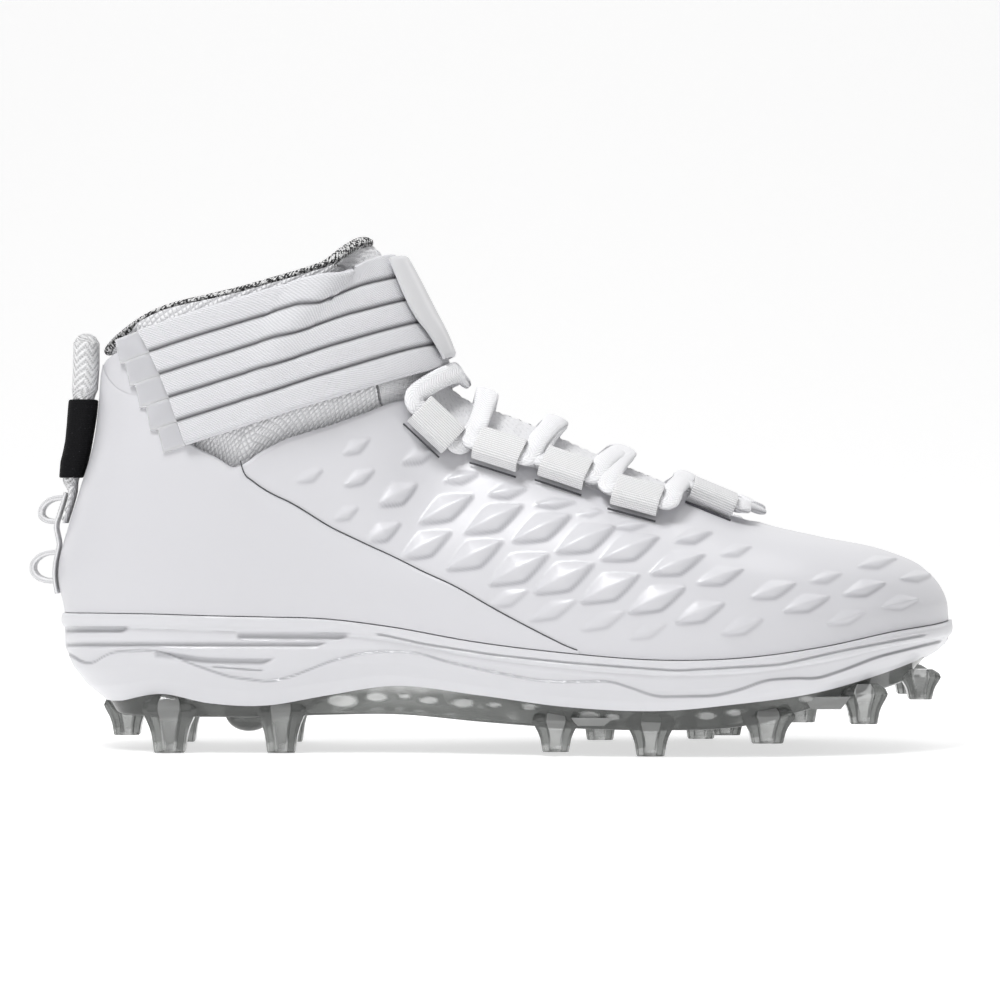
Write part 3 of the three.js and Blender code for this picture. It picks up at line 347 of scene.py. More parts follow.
class Form:
    """Points, faces, surface lengths in millimetres and a mark for each point, gathered for one mesh."""

    def __init__(self):
        self.points, self.faces, self.uvs, self.marks, self.count = [], [], [], [], 0

    def add(self, points, faces, uv=None, mark=0.0):
        points = np.asarray(points, float).reshape(-1, 3)
        uv = points[:, [0, 2]] if uv is None else np.asarray(uv, float).reshape(-1, 2)
        self.points.append(points)
        self.uvs.append(uv)
        self.marks.append(np.broadcast_to(np.asarray(mark, float).reshape(-1), (len(points),)))
        self.faces.extend((np.asarray(group) + self.count).tolist() for group in faces if len(group))
        start = self.count
        self.count += len(points)
        return start

    def make(self, name, material, slot, *nodes, sharp=38):
        mesh = bpy.data.meshes.new(name)
        points = (np.vstack(self.points) - ORIGIN) / 1000
        faces = [face for group in self.faces for face in group]
        mesh.from_pydata(points.tolist(), [], faces)
        layer = mesh.uv_layers.new(name="lengths")
        loops = np.empty(len(mesh.loops), int)
        mesh.loops.foreach_get("vertex_index", loops)
        layer.data.foreach_set("uv", np.vstack(self.uvs)[loops].astype(np.float32).ravel())
        marks = mesh.attributes.new("mark", "FLOAT", "POINT")
        marks.data.foreach_set("value", np.concatenate(self.marks).astype(np.float32))
        made = bmesh.new()
        made.from_mesh(mesh)
        bmesh.ops.remove_doubles(made, verts=made.verts, dist=MERGE_REACH / 1000)
        bmesh.ops.dissolve_degenerate(made, edges=made.edges, dist=1e-7)
        bmesh.ops.recalc_face_normals(made, faces=made.faces)
        limit = np.radians(sharp)
        for edge in made.edges:
            edge.smooth = len(edge.link_faces) != 2 or edge.calc_face_angle(0) < limit
        for face in made.faces:
            face.smooth = True
        made.to_mesh(mesh)
        made.free()
        mesh.materials.append(material)
        piece = bpy.data.objects.new(name, mesh)
        bpy.context.scene.collection.objects.link(piece)
        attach(piece, "root")
        if nodes:
            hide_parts(*nodes)
        return piece


def quads(rows, columns, wrap=False, keep=None):
    i, j = np.meshgrid(np.arange(rows if wrap else rows - 1), np.arange(columns - 1), indexing="ij")
    after = (i + 1) % rows
    made = np.stack([i * columns + j, after * columns + j, after * columns + j + 1, i * columns + j + 1], -1)
    return made.reshape(-1, 4) if keep is None else made[keep].reshape(-1, 4)


def lengths(grid):
    """Surface lengths over a grid: along its middle line, and across from its first line."""
    middle = grid[:, grid.shape[1] // 2]
    u = np.concatenate([[0], np.cumsum(np.linalg.norm(np.diff(middle, axis=0), axis=1))])
    v = np.cumsum(np.linalg.norm(np.diff(grid, axis=1), axis=2), axis=1)
    v = np.concatenate([np.zeros((len(grid), 1)), v], axis=1)
    return np.stack([np.broadcast_to(u[:, None], v.shape), v], -1)


def add_sheet(form, outer, inner, top=None, start=True, end=True, mark=0.0, wrap=False):
    """Closed sheet between two grids with the same rows; `top` marks the rows with an open upper rim."""
    rows, columns = outer.shape[:2]
    inner_columns = inner.shape[1]
    shift = rows * columns
    here = np.arange(rows if wrap else rows - 1)
    after = (here + 1) % rows
    rim = here if top is None else here[top[here] | top[after]]
    rim_after = (rim + 1) % rows
    foot = np.stack([here * columns, after * columns, shift + after * inner_columns,
                     shift + here * inner_columns], -1)
    head = np.stack([rim * columns + columns - 1, rim_after * columns + columns - 1,
                     shift + rim_after * inner_columns + inner_columns - 1,
                     shift + rim * inner_columns + inner_columns - 1], -1)
    faces = [quads(rows, columns, wrap), quads(rows, inner_columns, wrap)[:, ::-1] + shift, foot, head]
    same = columns == inner_columns and not wrap
    across = np.arange(columns - 1)
    for wanted, row in ((start, 0), (end, rows - 1)):
        if wanted and same:
            first = row * columns + across
            faces.append(np.stack([first, first + 1, shift + first + 1, shift + first], -1))
    uv = np.vstack([lengths(outer).reshape(-1, 2), lengths(inner).reshape(-1, 2)])
    marks = np.concatenate([np.broadcast_to(mark, (rows, columns)).reshape(-1),
                            np.zeros(rows * inner_columns)])
    form.add(np.vstack([outer.reshape(-1, 3), inner.reshape(-1, 3)]), faces, uv, marks)


def boxed(value, square):
    """Sine or cosine of a ring, drawn boxier by a power under 1."""
    return np.sign(value) * np.abs(value) ** square


def add_tube(form, centres, wide, thick, half_wide, half_thick, sides=20, square=0.8, caps=True, mark=0.0):
    """Tube along centres; wide and thick are its cross directions, and square under 1 makes it boxier."""
    angle = 2 * np.pi * np.arange(sides) / sides
    count = len(centres)
    half_wide = np.broadcast_to(half_wide, count)[:, None, None]
    half_thick = np.broadcast_to(half_thick, count)[:, None, None]
    ring = (centres[:, None] + wide[:, None] * boxed(np.cos(angle), square)[None, :, None] * half_wide
            + thick[:, None] * boxed(np.sin(angle), square)[None, :, None] * half_thick)
    i, j = np.meshgrid(np.arange(count - 1), np.arange(sides), indexing="ij")
    k = (j + 1) % sides
    body = np.stack([i * sides + j, i * sides + k, (i + 1) * sides + k, (i + 1) * sides + j],
                    -1).reshape(-1, 4)
    faces = [body]
    if caps:
        faces += [[list(range(sides))[::-1]], [list(range((count - 1) * sides, count * sides))]]
    run = np.concatenate([[0], np.cumsum(np.linalg.norm(np.diff(centres, axis=0), axis=1))])
    around = np.cumsum(np.linalg.norm(np.roll(ring, -1, 1) - ring, axis=2), axis=1)
    uv = np.stack([np.broadcast_to(run[:, None], around.shape), around], -1)
    form.add(ring, faces, uv, mark)


def through(points, count):
    """Smooth curve through points, its pace set by the square root of their distances."""
    p = np.vstack([2 * points[0] - points[1], points, 2 * points[-1] - points[-2]])
    knots = np.concatenate([[0], np.cumsum(np.linalg.norm(np.diff(p[:, :3], axis=0), axis=1) ** 0.5)])
    t = np.linspace(knots[1], knots[-2], count)[:, None]
    i = np.clip(np.searchsorted(knots, t[:, 0], side="right") - 1, 1, len(p) - 3)
    k = [knots[i + step][:, None] for step in (-1, 0, 1, 2)]
    q = [p[i + step] for step in (-1, 0, 1, 2)]

    def mix(a, b, ta, tb):
        return a * (tb - t) / (tb - ta) + b * (t - ta) / (tb - ta)

    a1, a2, a3 = (mix(q[n], q[n + 1], k[n], k[n + 1]) for n in range(3))
    b1, b2 = mix(a1, a2, k[0], k[2]), mix(a2, a3, k[1], k[3])
    return mix(b1, b2, k[1], k[2])


def tangents(points):
    return unit(np.gradient(points, axis=0))


# Materials

def start_material(name, color, roughness):
    material = bpy.data.materials.new(name)
    material.use_nodes = True
    material.diffuse_color = (*color, 1)
    shader = material.node_tree.nodes["Principled BSDF"]
    shader.inputs["Base Color"].default_value = (*color, 1)
    shader.inputs["Roughness"].default_value = roughness
    return material, material.node_tree, shader


def calc(tree, operation, *values):
    node = tree.nodes.new("ShaderNodeMath")
    node.operation = operation
    for socket, value in zip(node.inputs, values):
        if isinstance(value, (int, float)):
            socket.default_value = value
        else:
            tree.links.new(value, socket)
    return node.outputs[0]


def surface_lengths(tree):
    node = tree.nodes.new("ShaderNodeUVMap")
    node.uv_map = "lengths"
    split = tree.nodes.new("ShaderNodeSeparateXYZ")
    tree.links.new(node.outputs[0], split.inputs[0])
    return split.outputs[0], split.outputs[1]


def mark_of(tree):
    node = tree.nodes.new("ShaderNodeAttribute")
    node.attribute_name = "mark"
    return node.outputs["Fac"]


def noise(tree, scale, detail=2.0):
    place = tree.nodes.new("ShaderNodeTexCoord").outputs["Object"]
    node = tree.nodes.new("ShaderNodeTexNoise")
    node.inputs["Scale"].default_value = scale
    node.inputs["Detail"].default_value = detail
    tree.links.new(place, node.inputs["Vector"])
    return node.outputs["Fac"]


def wave(tree, value, pitch):
    """Sine of a length at a pitch, from 0 to 1."""
    turn = calc(tree, "MULTIPLY", value, 2 * np.pi / pitch)
    return calc(tree, "MULTIPLY_ADD", calc(tree, "SINE", turn), 0.5, 0.5)


def bump(tree, shader, height, distance, strength=1.0):
    node = tree.nodes.new("ShaderNodeBump")
    node.inputs["Distance"].default_value = distance / 1000
    node.inputs["Strength"].default_value = strength
    tree.links.new(height, node.inputs["Height"])
    tree.links.new(node.outputs[0], shader.inputs["Normal"])


def ramp_color(tree, shader, factor, low, high, start=0.0, stop=1.0):
    node = tree.nodes.new("ShaderNodeValToRGB")
    node.color_ramp.elements[0].color = (*low, 1)
    node.color_ramp.elements[0].position = start
    node.color_ramp.elements[1].color = (*high, 1)
    node.color_ramp.elements[1].position = stop
    tree.links.new(factor, node.inputs[0])
    tree.links.new(node.outputs[0], shader.inputs["Base Color"])


def shell_material():
    material, tree, shader = start_material("shell", (0.67, 0.668, 0.695), 0.33)
    shader.inputs["Specular IOR Level"].default_value = 0.5
    grain = calc(tree, "ADD", noise(tree, 900, 3), calc(tree, "MULTIPLY", noise(tree, 90, 2), 0.6))
    bump(tree, shader, grain, 0.05, 0.5)
    # Painted shadow: the mark darkens the shell to grey under each scale
    ramp_color(tree, shader, mark_of(tree), (0.67, 0.668, 0.695), (0.24, 0.24, 0.27))
    return material


def knit_material():
    pitch = 1.9
    rows = 1.4
    depth = 0.4
    material, tree, shader = start_material("knit", (0.8, 0.8, 0.82), 0.92)
    shader.inputs["Sheen Weight"].default_value = 0.25
    u, v = surface_lengths(tree)
    a = calc(tree, "ADD", calc(tree, "DIVIDE", u, pitch), calc(tree, "DIVIDE", v, rows * 2))
    b = calc(tree, "SUBTRACT", calc(tree, "DIVIDE", u, pitch), calc(tree, "DIVIDE", v, rows * 2))
    cells = calc(tree, "MULTIPLY", wave(tree, a, 1), wave(tree, b, 1))
    soft = calc(tree, "POWER", cells, 0.6)
    fuzz = calc(tree, "MULTIPLY", noise(tree, 2500, 2), 0.35)
    height = calc(tree, "ADD", soft, fuzz)
    bump(tree, shader, height, depth)
    # Painted shade: the colour follows the cells of the bump, darker in the hollows between them
    ramp_color(tree, shader, soft, (0.6, 0.6, 0.62), (0.88, 0.88, 0.895), start=0.0, stop=0.4)
    return material


def quilt_material():
    material, tree, shader = start_material("quilt", (0.8, 0.8, 0.82), 0.9)
    shader.inputs["Sheen Weight"].default_value = 0.25
    u, v = surface_lengths(tree)
    yarn = calc(tree, "MULTIPLY", wave(tree, calc(tree, "ADD", u, v), 0.7),
                wave(tree, calc(tree, "SUBTRACT", u, v), 0.7))
    height = calc(tree, "ADD", yarn, calc(tree, "MULTIPLY", noise(tree, 2200, 2), 0.8))
    bump(tree, shader, height, 0.16)
    # Painted shade: the mark is the height of the puffs, so the hollows between them are darker
    ramp_color(tree, shader, mark_of(tree), (0.64, 0.64, 0.66), (0.88, 0.88, 0.9), start=0.0, stop=0.45)
    return material


def speckle_material():
    material, tree, shader = start_material("speckle", (0.3, 0.3, 0.3), 0.9)
    u, v = surface_lengths(tree)
    turn = calc(tree, "ADD", calc(tree, "MULTIPLY", u, 1.2), v)
    strand = wave(tree, turn, 1.5)
    spots = noise(tree, 1100, 1)
    mix = calc(tree, "MULTIPLY_ADD", strand, 0.3,
               calc(tree, "SUBTRACT", calc(tree, "MULTIPLY", spots, 2.6), 0.95))
    bump(tree, shader, strand, 0.35)
    # The spots are the yarn's own black and white; the twist wave, also the bump, adds painted shade in its hollows
    # and lighter crests
    ramp_color(tree, shader, mix, (0.03, 0.03, 0.032), (0.78, 0.78, 0.78), start=0.35, stop=0.62)
    return material


def elastic_material():
    material, tree, shader = start_material("elastic", (0.7, 0.7, 0.73), 0.8)
    shader.inputs["Sheen Weight"].default_value = 0.15
    u, v = surface_lengths(tree)
    twill = wave(tree, calc(tree, "ADD", u, calc(tree, "MULTIPLY", v, 0.9)), 1.05)
    cross = wave(tree, v, 0.62)
    weave = calc(tree, "MULTIPLY_ADD", cross, 0.35, calc(tree, "MULTIPLY", twill, 0.65))
    bump(tree, shader, weave, 0.16)
    # Painted shade: the grooves between the bands go nearly black, and the weave's hollows darker
    grooves = mark_of(tree)
    tone = calc(tree, "MULTIPLY", calc(tree, "MULTIPLY_ADD", weave, 0.3, 0.7),
                calc(tree, "SUBTRACT", 1.0, grooves))
    ramp_color(tree, shader, tone, (0.16, 0.16, 0.17), (0.78, 0.78, 0.81))
    return material


def web_material():
    pitch = 0.82
    color = 0.82
    material, tree, shader = start_material("webbing", (color, color, color + 0.01), 0.7)
    shader.inputs["Sheen Weight"].default_value = 0.2
    u, v = surface_lengths(tree)
    ribs = wave(tree, v, pitch)
    picks = wave(tree, u, 0.55)
    weave = calc(tree, "MULTIPLY_ADD", picks, 0.25, calc(tree, "MULTIPLY", ribs, 0.75))
    bump(tree, shader, weave, 0.2)
    # Painted shade and highlight: the colour follows the weave of the bump, darker in its valleys and a touch
    # brighter than the base on the crests
    low = color * 0.72
    high = color * 1.04
    ramp_color(tree, shader, weave, (low, low, low + 0.01), (high, high, high + 0.01), start=0.05, stop=0.6)
    return material


def braid_material(name, color, pitch, width, depth=0.3, dark=0.72):
    material, tree, shader = start_material(name, color, 0.82)
    shader.inputs["Sheen Weight"].default_value = 0.2
    u, v = surface_lengths(tree)
    side = calc(tree, "PINGPONG", v, width)
    chevron = wave(tree, calc(tree, "ADD", u, side), pitch)
    threads = wave(tree, calc(tree, "SUBTRACT", u, side), pitch / 2)
    height = calc(tree, "ADD", chevron, calc(tree, "MULTIPLY", threads, 0.3))
    bump(tree, shader, height, depth)
    # Painted shade: the braid darkens in the hollows of its chevrons, by the factor dark
    low = tuple(c * dark for c in color)
    ramp_color(tree, shader, height, low, color, start=0.0, stop=0.6)
    return material


def foam_material():
    material, tree, shader = start_material("wall", (0.7, 0.7, 0.725), 0.3)
    shader.inputs["Subsurface Weight"].default_value = 0.15
    shader.inputs["Subsurface Radius"].default_value = (0.004, 0.004, 0.004)
    bump(tree, shader, noise(tree, 700, 2), 0.03, 0.4)
    # Painted shade: the mark darkens the white wall in its grooves and along the step of the wave line
    ramp_color(tree, shader, mark_of(tree), (0.7, 0.7, 0.725), (0.26, 0.26, 0.28))
    return material


def clear_material():
    material, tree, shader = start_material("clear_plate", (0.5, 0.51, 0.5), 0.1)
    shader.inputs["Transmission Weight"].default_value = 0.68
    shader.inputs["IOR"].default_value = 1.46
    bump(tree, shader, noise(tree, 160, 2), 0.25, 0.4)
    # Higher marks lighten the clear colour: the plate's windows and upper band, the blades, and a painted highlight
    # on the studs' ribs
    ramp_color(tree, shader, mark_of(tree), (0.2, 0.208, 0.2), (0.84, 0.85, 0.84))
    return material


def film_material():
    material, tree, shader = start_material("clear_tab", (0.86, 0.86, 0.89), 0.22)
    shader.inputs["Transmission Weight"].default_value = 0.45
    shader.inputs["IOR"].default_value = 1.4
    bump(tree, shader, noise(tree, 120, 2), 0.08, 0.4)
    # Painted highlight: the mark lightens the bevelled edges of each segment
    ramp_color(tree, shader, mark_of(tree), (0.84, 0.84, 0.87), (0.96, 0.96, 0.97))
    return material


# Near-black material for thin lines of painted shadow: in the seam of the quarter overlay and in the slits under the
# lace loops
def shadow_line_material():
    material, tree, shader = start_material("shadow_line", (0.05, 0.05, 0.06), 0.7)
    ramp_color(tree, shader, noise(tree, 300, 1), (0.035, 0.035, 0.04), (0.09, 0.09, 0.1))
    return material


def tab_material():
    material, tree, shader = start_material("strap_tab", (0.7, 0.7, 0.715), 0.5)
    bump(tree, shader, noise(tree, 500, 2), 0.06, 0.5)
    ramp_color(tree, shader, mark_of(tree), (0.68, 0.68, 0.695), (0.78, 0.78, 0.79))
    return material


def sleeve_material():
    material, tree, shader = start_material("sleeve", (0.004, 0.004, 0.005), 0.7)
    shader.inputs["Specular IOR Level"].default_value = 0.15
    u, v = surface_lengths(tree)
    weave = calc(tree, "MULTIPLY", wave(tree, u, 0.5), wave(tree, v, 0.6))
    fleck = calc(tree, "GREATER_THAN", noise(tree, 1400, 1), 0.69)
    bump(tree, shader, weave, 0.12)
    ramp_color(tree, shader, calc(tree, "MULTIPLY", fleck, weave), (0.004, 0.004, 0.005), (0.05, 0.05, 0.055))
    return material


def insole_material():
    material, tree, shader = start_material("insole", (0.62, 0.62, 0.64), 0.9)
    u, v = surface_lengths(tree)
    weave = calc(tree, "MULTIPLY", wave(tree, u, 1.2), wave(tree, v, 1.2))
    bump(tree, shader, weave, 0.15)
    # Painted shade: darker in the hollows of the weave
    ramp_color(tree, shader, weave, (0.55, 0.55, 0.57), (0.68, 0.68, 0.7))
    return material


# Pieces

def scale_relief(px, py):
    """Height of the raised scales, pointed lozenges with a crest, and the painted shadow under each."""
    height = np.zeros_like(px)
    scale_shadow = np.zeros_like(px)
    for x, y, length, width, tilt, rise in SCALES:
        angle = np.radians(tilt)
        dx, dy = px - x, y - py
        along = dx * np.cos(angle) + dy * np.sin(angle)
        across = dy * np.cos(angle) - dx * np.sin(angle)
        waist = np.clip(1 - np.abs(2 * along / (SCALE_GROWTH * length)) ** 1.3, 0, 1)
        low_half = 0.44 * SCALE_GROWTH * width * waist + 1e-6
        half = np.where(across > 0, 0.6 * SCALE_GROWTH * width * waist + 1e-6, low_half)
        slope = np.clip(1.04 - np.sqrt((across / half) ** 2 + 0.006), 0, 1)
        height = np.maximum(height, SCALE_RISE * rise * waist**0.35 * slope**0.9)
        # Painted shadow: a dark band just below each scale's lower edge, fading towards its tips
        edge = np.exp(-(((across + low_half) / 2.1) ** 2)) * np.sqrt(waist) * (waist > 0)
        scale_shadow = np.maximum(scale_shadow, edge * min(1, rise) * SCALE_SHADOW)
    return height, scale_shadow


def build_upper(material, line):
    stations = np.concatenate([np.linspace(0, 0.9, 20), np.linspace(0.9, 9.5, 340)[1:],
                               np.linspace(9.5, HEEL_ROW, 72)[1:]])
    top = shell_top(stations)
    seam = np.minimum(soft_graph(SEAM, stations), top)
    rows = 104
    form = Form()
    for side in (-1, 1):
        share = np.linspace(0, 1, rows)[None] * top[:, None]
        base = last_point(stations[:, None], side, share)
        px, py = view_pixels(base)
        above = smooth_step(share - seam[:, None], 0.0, 0.035) * smooth_step(top[:, None] - share, 0.0, 0.04)
        fade = np.where(top[:, None] >= 1, 1, above)
        height, scale_shadow = (values * fade for values in scale_relief(px, py))
        open_edge = smooth_step(1 - top, 0, 0.02)[:, None]
        rim = smooth_step(share - top[:, None], -0.012, 0.0) * open_edge
        outer = offset_point(stations[:, None], side, share, height - 0.5 * rim)
        deep = np.linspace(0, 1, 7)[None] * top[:, None]
        inner = offset_point(stations[:, None], side, deep, -SHELL_WALL)
        opened = (top < 1) | (stations > RIDGE_END)
        # The mark carries the painted shadow under the scales
        add_sheet(form, outer, inner, top=opened, start=False, end=False, mark=scale_shadow)
    form.make("upper_vamp", material, "shell", "upper", sharp=50)

    quarter = Form()
    stations = np.linspace(SEAM_START + 0.03, HEEL_ROW, 240)
    limit = np.minimum(soft_graph(SEAM, stations), shell_top(stations) - 0.004)
    for side in (-1, 1):
        share = np.linspace(0, 1, 30)[None] * limit[:, None]
        gap = (limit[:, None] - share) * 90
        proud = 0.15 + 0.4 * np.sqrt(np.clip(1 - (1 - np.clip(gap / 0.6, 0, 1)) ** 2, 0, 1))
        outer = offset_point(stations[:, None], side, share, proud)
        inner = offset_point(stations[:, None], side, share[:, ::5], -0.25)
        add_sheet(quarter, outer, inner, start=False, end=False)
    quarter.make("upper_quarter", material, "shell")

    # A thin dark tube along the overlay's seam, painted shadow in the seam
    seam_form = Form()
    stations = np.linspace(SEAM_START + 0.05, TONGUE_CORNER, 260)
    for side in (-1, 1):
        share = soft_graph(SEAM, stations) + 0.002
        centres = offset_point(stations, side, share, 0.18)
        out = last_normal(stations, side, share)
        add_tube(seam_form, centres, unit(np.cross(out, tangents(centres))), out, 0.2, 0.2, sides=8)
    seam_form.make("upper_seam_shadow", line, "shell")


def knit_face(station, share, proud, depth=0.0):
    hidden = -(SHELL_WALL + SOCK_GAP + depth)
    ramp = smooth_step(share - shell_top(station) - SWELL_START, 0, SWELL_RUN)
    return hidden + (proud - hidden) * ramp


def thinned(depth, share):
    return depth - (depth - RIM_DEPTH) * smooth_step(share, 0.8, 1)


def build_collar(material):
    stations = np.linspace(COLLAR_FRONT, HEEL_ROW, 200)
    top = np.where(stations < TONGUE_CORNER + 0.1, graph(TONGUE_EDGE, stations) - 0.006, 1)
    foot = graph(COLLAR_FOOT, stations)
    form = Form()
    for side in (-1, 1):
        share = foot[:, None] + (top - foot)[:, None] * np.linspace(0, 1, 56)[None]
        here = stations[:, None] + 0 * share
        puff = 0.8 * np.sin(np.clip((share - 0.72) / 0.26, 0, 1) * np.pi) * smooth_step(here, 10.6, 11.6)
        outer = offset_point(here, side, share, knit_face(here, share, 0.0) + puff)
        inner = offset_point(here, side, share, -thinned(SHELL_WALL + SOCK_GAP + SOCK_WALL, share))
        add_sheet(form, outer, inner, end=False)
    return form.make("collar_sock", material, "knit", "collar")


def build_tongue(material):
    stations = np.linspace(TONGUE_FRONT, TONGUE_CORNER, 250)
    low = graph(TONGUE_EDGE, stations) + 0.006
    form = Form()
    for side in (-1, 1):
        share = low[:, None] + (1 - low)[:, None] * np.linspace(0, 1, 44)[None]
        here = stations[:, None] + 0 * share
        base = last_point(here, side, share)
        flow = lengths(base)
        u = flow[..., 0]
        v = flow[..., 1] - flow[:, -1:, 1]
        cell = np.abs(np.cos(np.pi * (u / 3.4 + v / 3.0)) * np.cos(np.pi * (u / 3.4 - v / 3.0)))
        puff = np.sqrt(cell)
        shown = smooth_step(share - shell_top(here), 0.01, 0.06)
        offset = knit_face(here, share, -CLEARANCE, CLEARANCE) + 0.6 * (puff - 1) * shown
        outer = offset_point(here, side, share, offset)
        inner = offset_point(here, side, share,
                             -thinned(SHELL_WALL + SOCK_GAP + TONGUE_WALL, here / RIDGE_END))
        ends = (stations > RIDGE_END)
        # The puff is also the mark that paints shade into the hollows of the quilt
        add_sheet(form, outer, inner, top=ends, mark=puff)
    return form.make("tongue_quilt", material, "knit", "tongue", sharp=70)


def build_binding(material):
    """Speckled rope round the rim, thicker on the tongue."""
    half = 170
    path = np.concatenate([np.linspace(RIDGE_END, HEEL_ROW, half),
                           np.linspace(HEEL_ROW, RIDGE_END, half)[1:-1]])
    side = np.concatenate([np.full(half, -1.0), np.full(half - 2, 1.0)])
    inward = offset_point(np.maximum(path, RIDGE_END + 0.05), side, 0.985, -RIM_DEPTH / 2)
    rim = offset_point(path, side, 1.0, 0.0)
    centres = np.stack([inward[:, 0], inward[:, 1], rim[:, 2] + 0.5], -1)
    window = np.ones(9) / 9
    for _ in range(3):
        wrapped = np.concatenate([centres[-4:], centres, centres[:4]])
        centres = np.stack([np.convolve(wrapped[:, c], window, "valid") for c in range(3)], -1)
    thick = 1.25 + 0.6 * smooth_step(-path, -TONGUE_CORNER - 0.25, -TONGUE_CORNER + 0.05)
    closed = np.concatenate([centres, centres[:2]])
    around = np.concatenate([thick, thick[:2]])
    along = tangents(closed)
    wide = unit(np.cross([0.0, 0.0, 1.0], along))
    rope = Form()
    add_tube(rope, closed, wide, unit(np.cross(along, wide)), around * 1.15, around, sides=14, square=1.0)
    return rope.make("rim_binding", material, "knit")


def level(points):
    return points[..., 2] - STRAP_SLOPE * points[..., 0]


def solve(low, high, wanted, read):
    low = np.broadcast_to(np.asarray(low, float), wanted.shape).copy()
    high = np.broadcast_to(np.asarray(high, float), wanted.shape).copy()
    for _ in range(SEARCH_STEPS):
        middle = (low + high) / 2
        under = read(middle) < wanted
        low = np.where(under, middle, low)
        high = np.where(under, high, middle)
    return (low + high) / 2


def ridge_station(wanted):
    return solve(8, RIDGE_END, wanted, lambda s: level(last_point(s, -1, 1)))


def band_point(wanted, station, side, offset):
    wanted, station, side, offset = np.broadcast_arrays(wanted, station, side, offset)
    share = solve(0.2, 1, wanted, lambda v: level(last_point(station, side, v)))
    share = np.where(station <= ridge_station(wanted) + 1e-6, 1.0, share)
    return offset_point(station, side, share, offset)


def strap_levels(count):
    """Levels across the strap from its lower edge."""
    rise = STRAP_WIDTH * np.sqrt(1 + STRAP_SLOPE**2) * (1 + STRAP_SLOPE**2)
    return STRAP_HEIGHT + rise * np.linspace(0, 1, count), rise


def band_grid(levels, start, end, near, far):
    """Stations and sides from the lateral end over the front ridge to the medial end, one row a place
    along."""
    share = (levels - levels[0]) / (levels[-1] - levels[0])
    front = ridge_station(levels)
    first = start[0] + (start[1] - start[0]) * share
    last = end[0] + (end[1] - end[0]) * share
    out = np.linspace(1, 0, near)[:, None] ** 2
    back = np.linspace(0, 1, far)[1:, None] ** 2
    station = np.vstack([front + (first - front) * out, front + (last - front) * back])
    side = np.vstack([np.full((near, len(levels)), -1.0), np.full((far - 1, len(levels)), 1.0)])
    return station, side


def pulled_tight(grid, station):
    """A band's surface led round the front in an arc and drawn smooth behind it, its ends kept."""
    share = np.clip((station - station.min(0)) / (STRAP_BEND - station.min(0)), 0, 1)
    grid = grid + outward_of(grid) * (DRAW_BULGE * np.sin(np.pi * share))[..., None]
    weight = smooth_step(station, 9.75, 10.3) * (1 - smooth_step(station, 12.2, 13.2))
    drawn = grid.copy()
    for _ in range(DRAW_PASSES):
        pull = 0.5 * (drawn[:-2] + drawn[2:]) - drawn[1:-1]
        drawn[1:-1] += 0.5 * weight[1:-1, :, None] * pull
    outward = outward_of(grid)
    inward = np.minimum(((drawn - grid) * outward).sum(-1) + DRAW_SINK, 0)
    return drawn - outward * inward[..., None]


def outward_of(grid):
    """Normals of a band round the ankle, pointing away from it."""
    normals = unit(np.cross(np.gradient(grid, axis=1), np.gradient(grid, axis=0)))
    return normals * np.sign(((grid - grid.mean((0, 1))) * normals).sum(-1).mean())


def build_strap(material):
    levels, rise = strap_levels(101)
    station, side = band_grid(levels, STRAP_REAR, STRAP_REAR, 110, 100)
    across = (levels - levels[0]) / rise * STRAP_BANDS
    gap = np.abs(across - np.round(across)) * STRAP_WIDTH / STRAP_BANDS
    inside = (np.round(across) > 0.5) & (np.round(across) < STRAP_BANDS - 0.5)
    groove = np.where(inside, np.exp(-((gap / 0.62) ** 2)), 0)
    edge = np.minimum(across, STRAP_BANDS - across) * STRAP_WIDTH / STRAP_BANDS
    crown = 0.25 * np.sin(np.pi * np.clip(across - np.floor(across), 0, 1))
    rounding = 1.0 * (1 - np.sqrt(np.clip(1 - (1 - np.clip(edge / 1.0, 0, 1)) ** 2, 0, 1)))
    thick = STRAP_THICKNESS - 0.25 + crown - GROOVE_DEPTH * groove - rounding
    grid = pulled_tight(band_point(levels[None], station, side, STRAP_SEAT), station)
    inner, grid = grid, grid + outward_of(grid) * thick[None, :, None]
    form = Form()
    # The groove also serves as the mark that paints shade into the grooves
    add_sheet(form, grid, inner, mark=np.broadcast_to(groove[None], station.shape))
    return form.make("strap_elastic", material, "elastic", "ankle_strap", sharp=60)


def build_end_tab(material):
    near, far, across = 14, 80, 40
    rows = near + far - 1
    levels = strap_levels(101)[0]
    levels = np.linspace(levels[0] + 2.5, levels[-1] - 2.5, across)
    front = ridge_station(levels)
    share = (levels - levels[0]) / (levels[-1] - levels[0])
    first = front + END_TAB_FRONT
    last = END_TAB_REAR[0] + (END_TAB_REAR[1] - END_TAB_REAR[0]) * share
    out = np.linspace(1, 0, near)[:, None] ** 2
    back = np.linspace(0, 1, far)[1:, None] ** 2
    station = np.vstack([front + (first - front) * out, front + (last - front) * back])
    side = np.vstack([np.full((near, across), -1.0), np.full((far - 1, across), 1.0)])
    seat = STRAP_SEAT + STRAP_THICKNESS + 5 * CLEARANCE
    i = np.arange(rows)[:, None]
    j = np.arange(across)[None]
    border = np.minimum(np.minimum(j, across - 1 - j) * 0.9, np.minimum(i * 0.35, (rows - 1 - i) * 0.9))
    rounding = 0.7 * (1 - np.sqrt(np.clip(1 - (1 - np.clip(border / 1.4, 0, 1)) ** 2, 0, 1)))
    inner = pulled_tight(band_point(levels[None], station, side, seat), station)
    outer = inner + outward_of(inner) * (END_TAB_THICKNESS - rounding)[..., None]
    ridge = np.exp(-((border - 2.2) / 0.5) ** 2)
    form = Form()
    add_sheet(form, outer, inner, mark=ridge)
    return form.make("strap_end_tab", material, "tab", "strap_end")


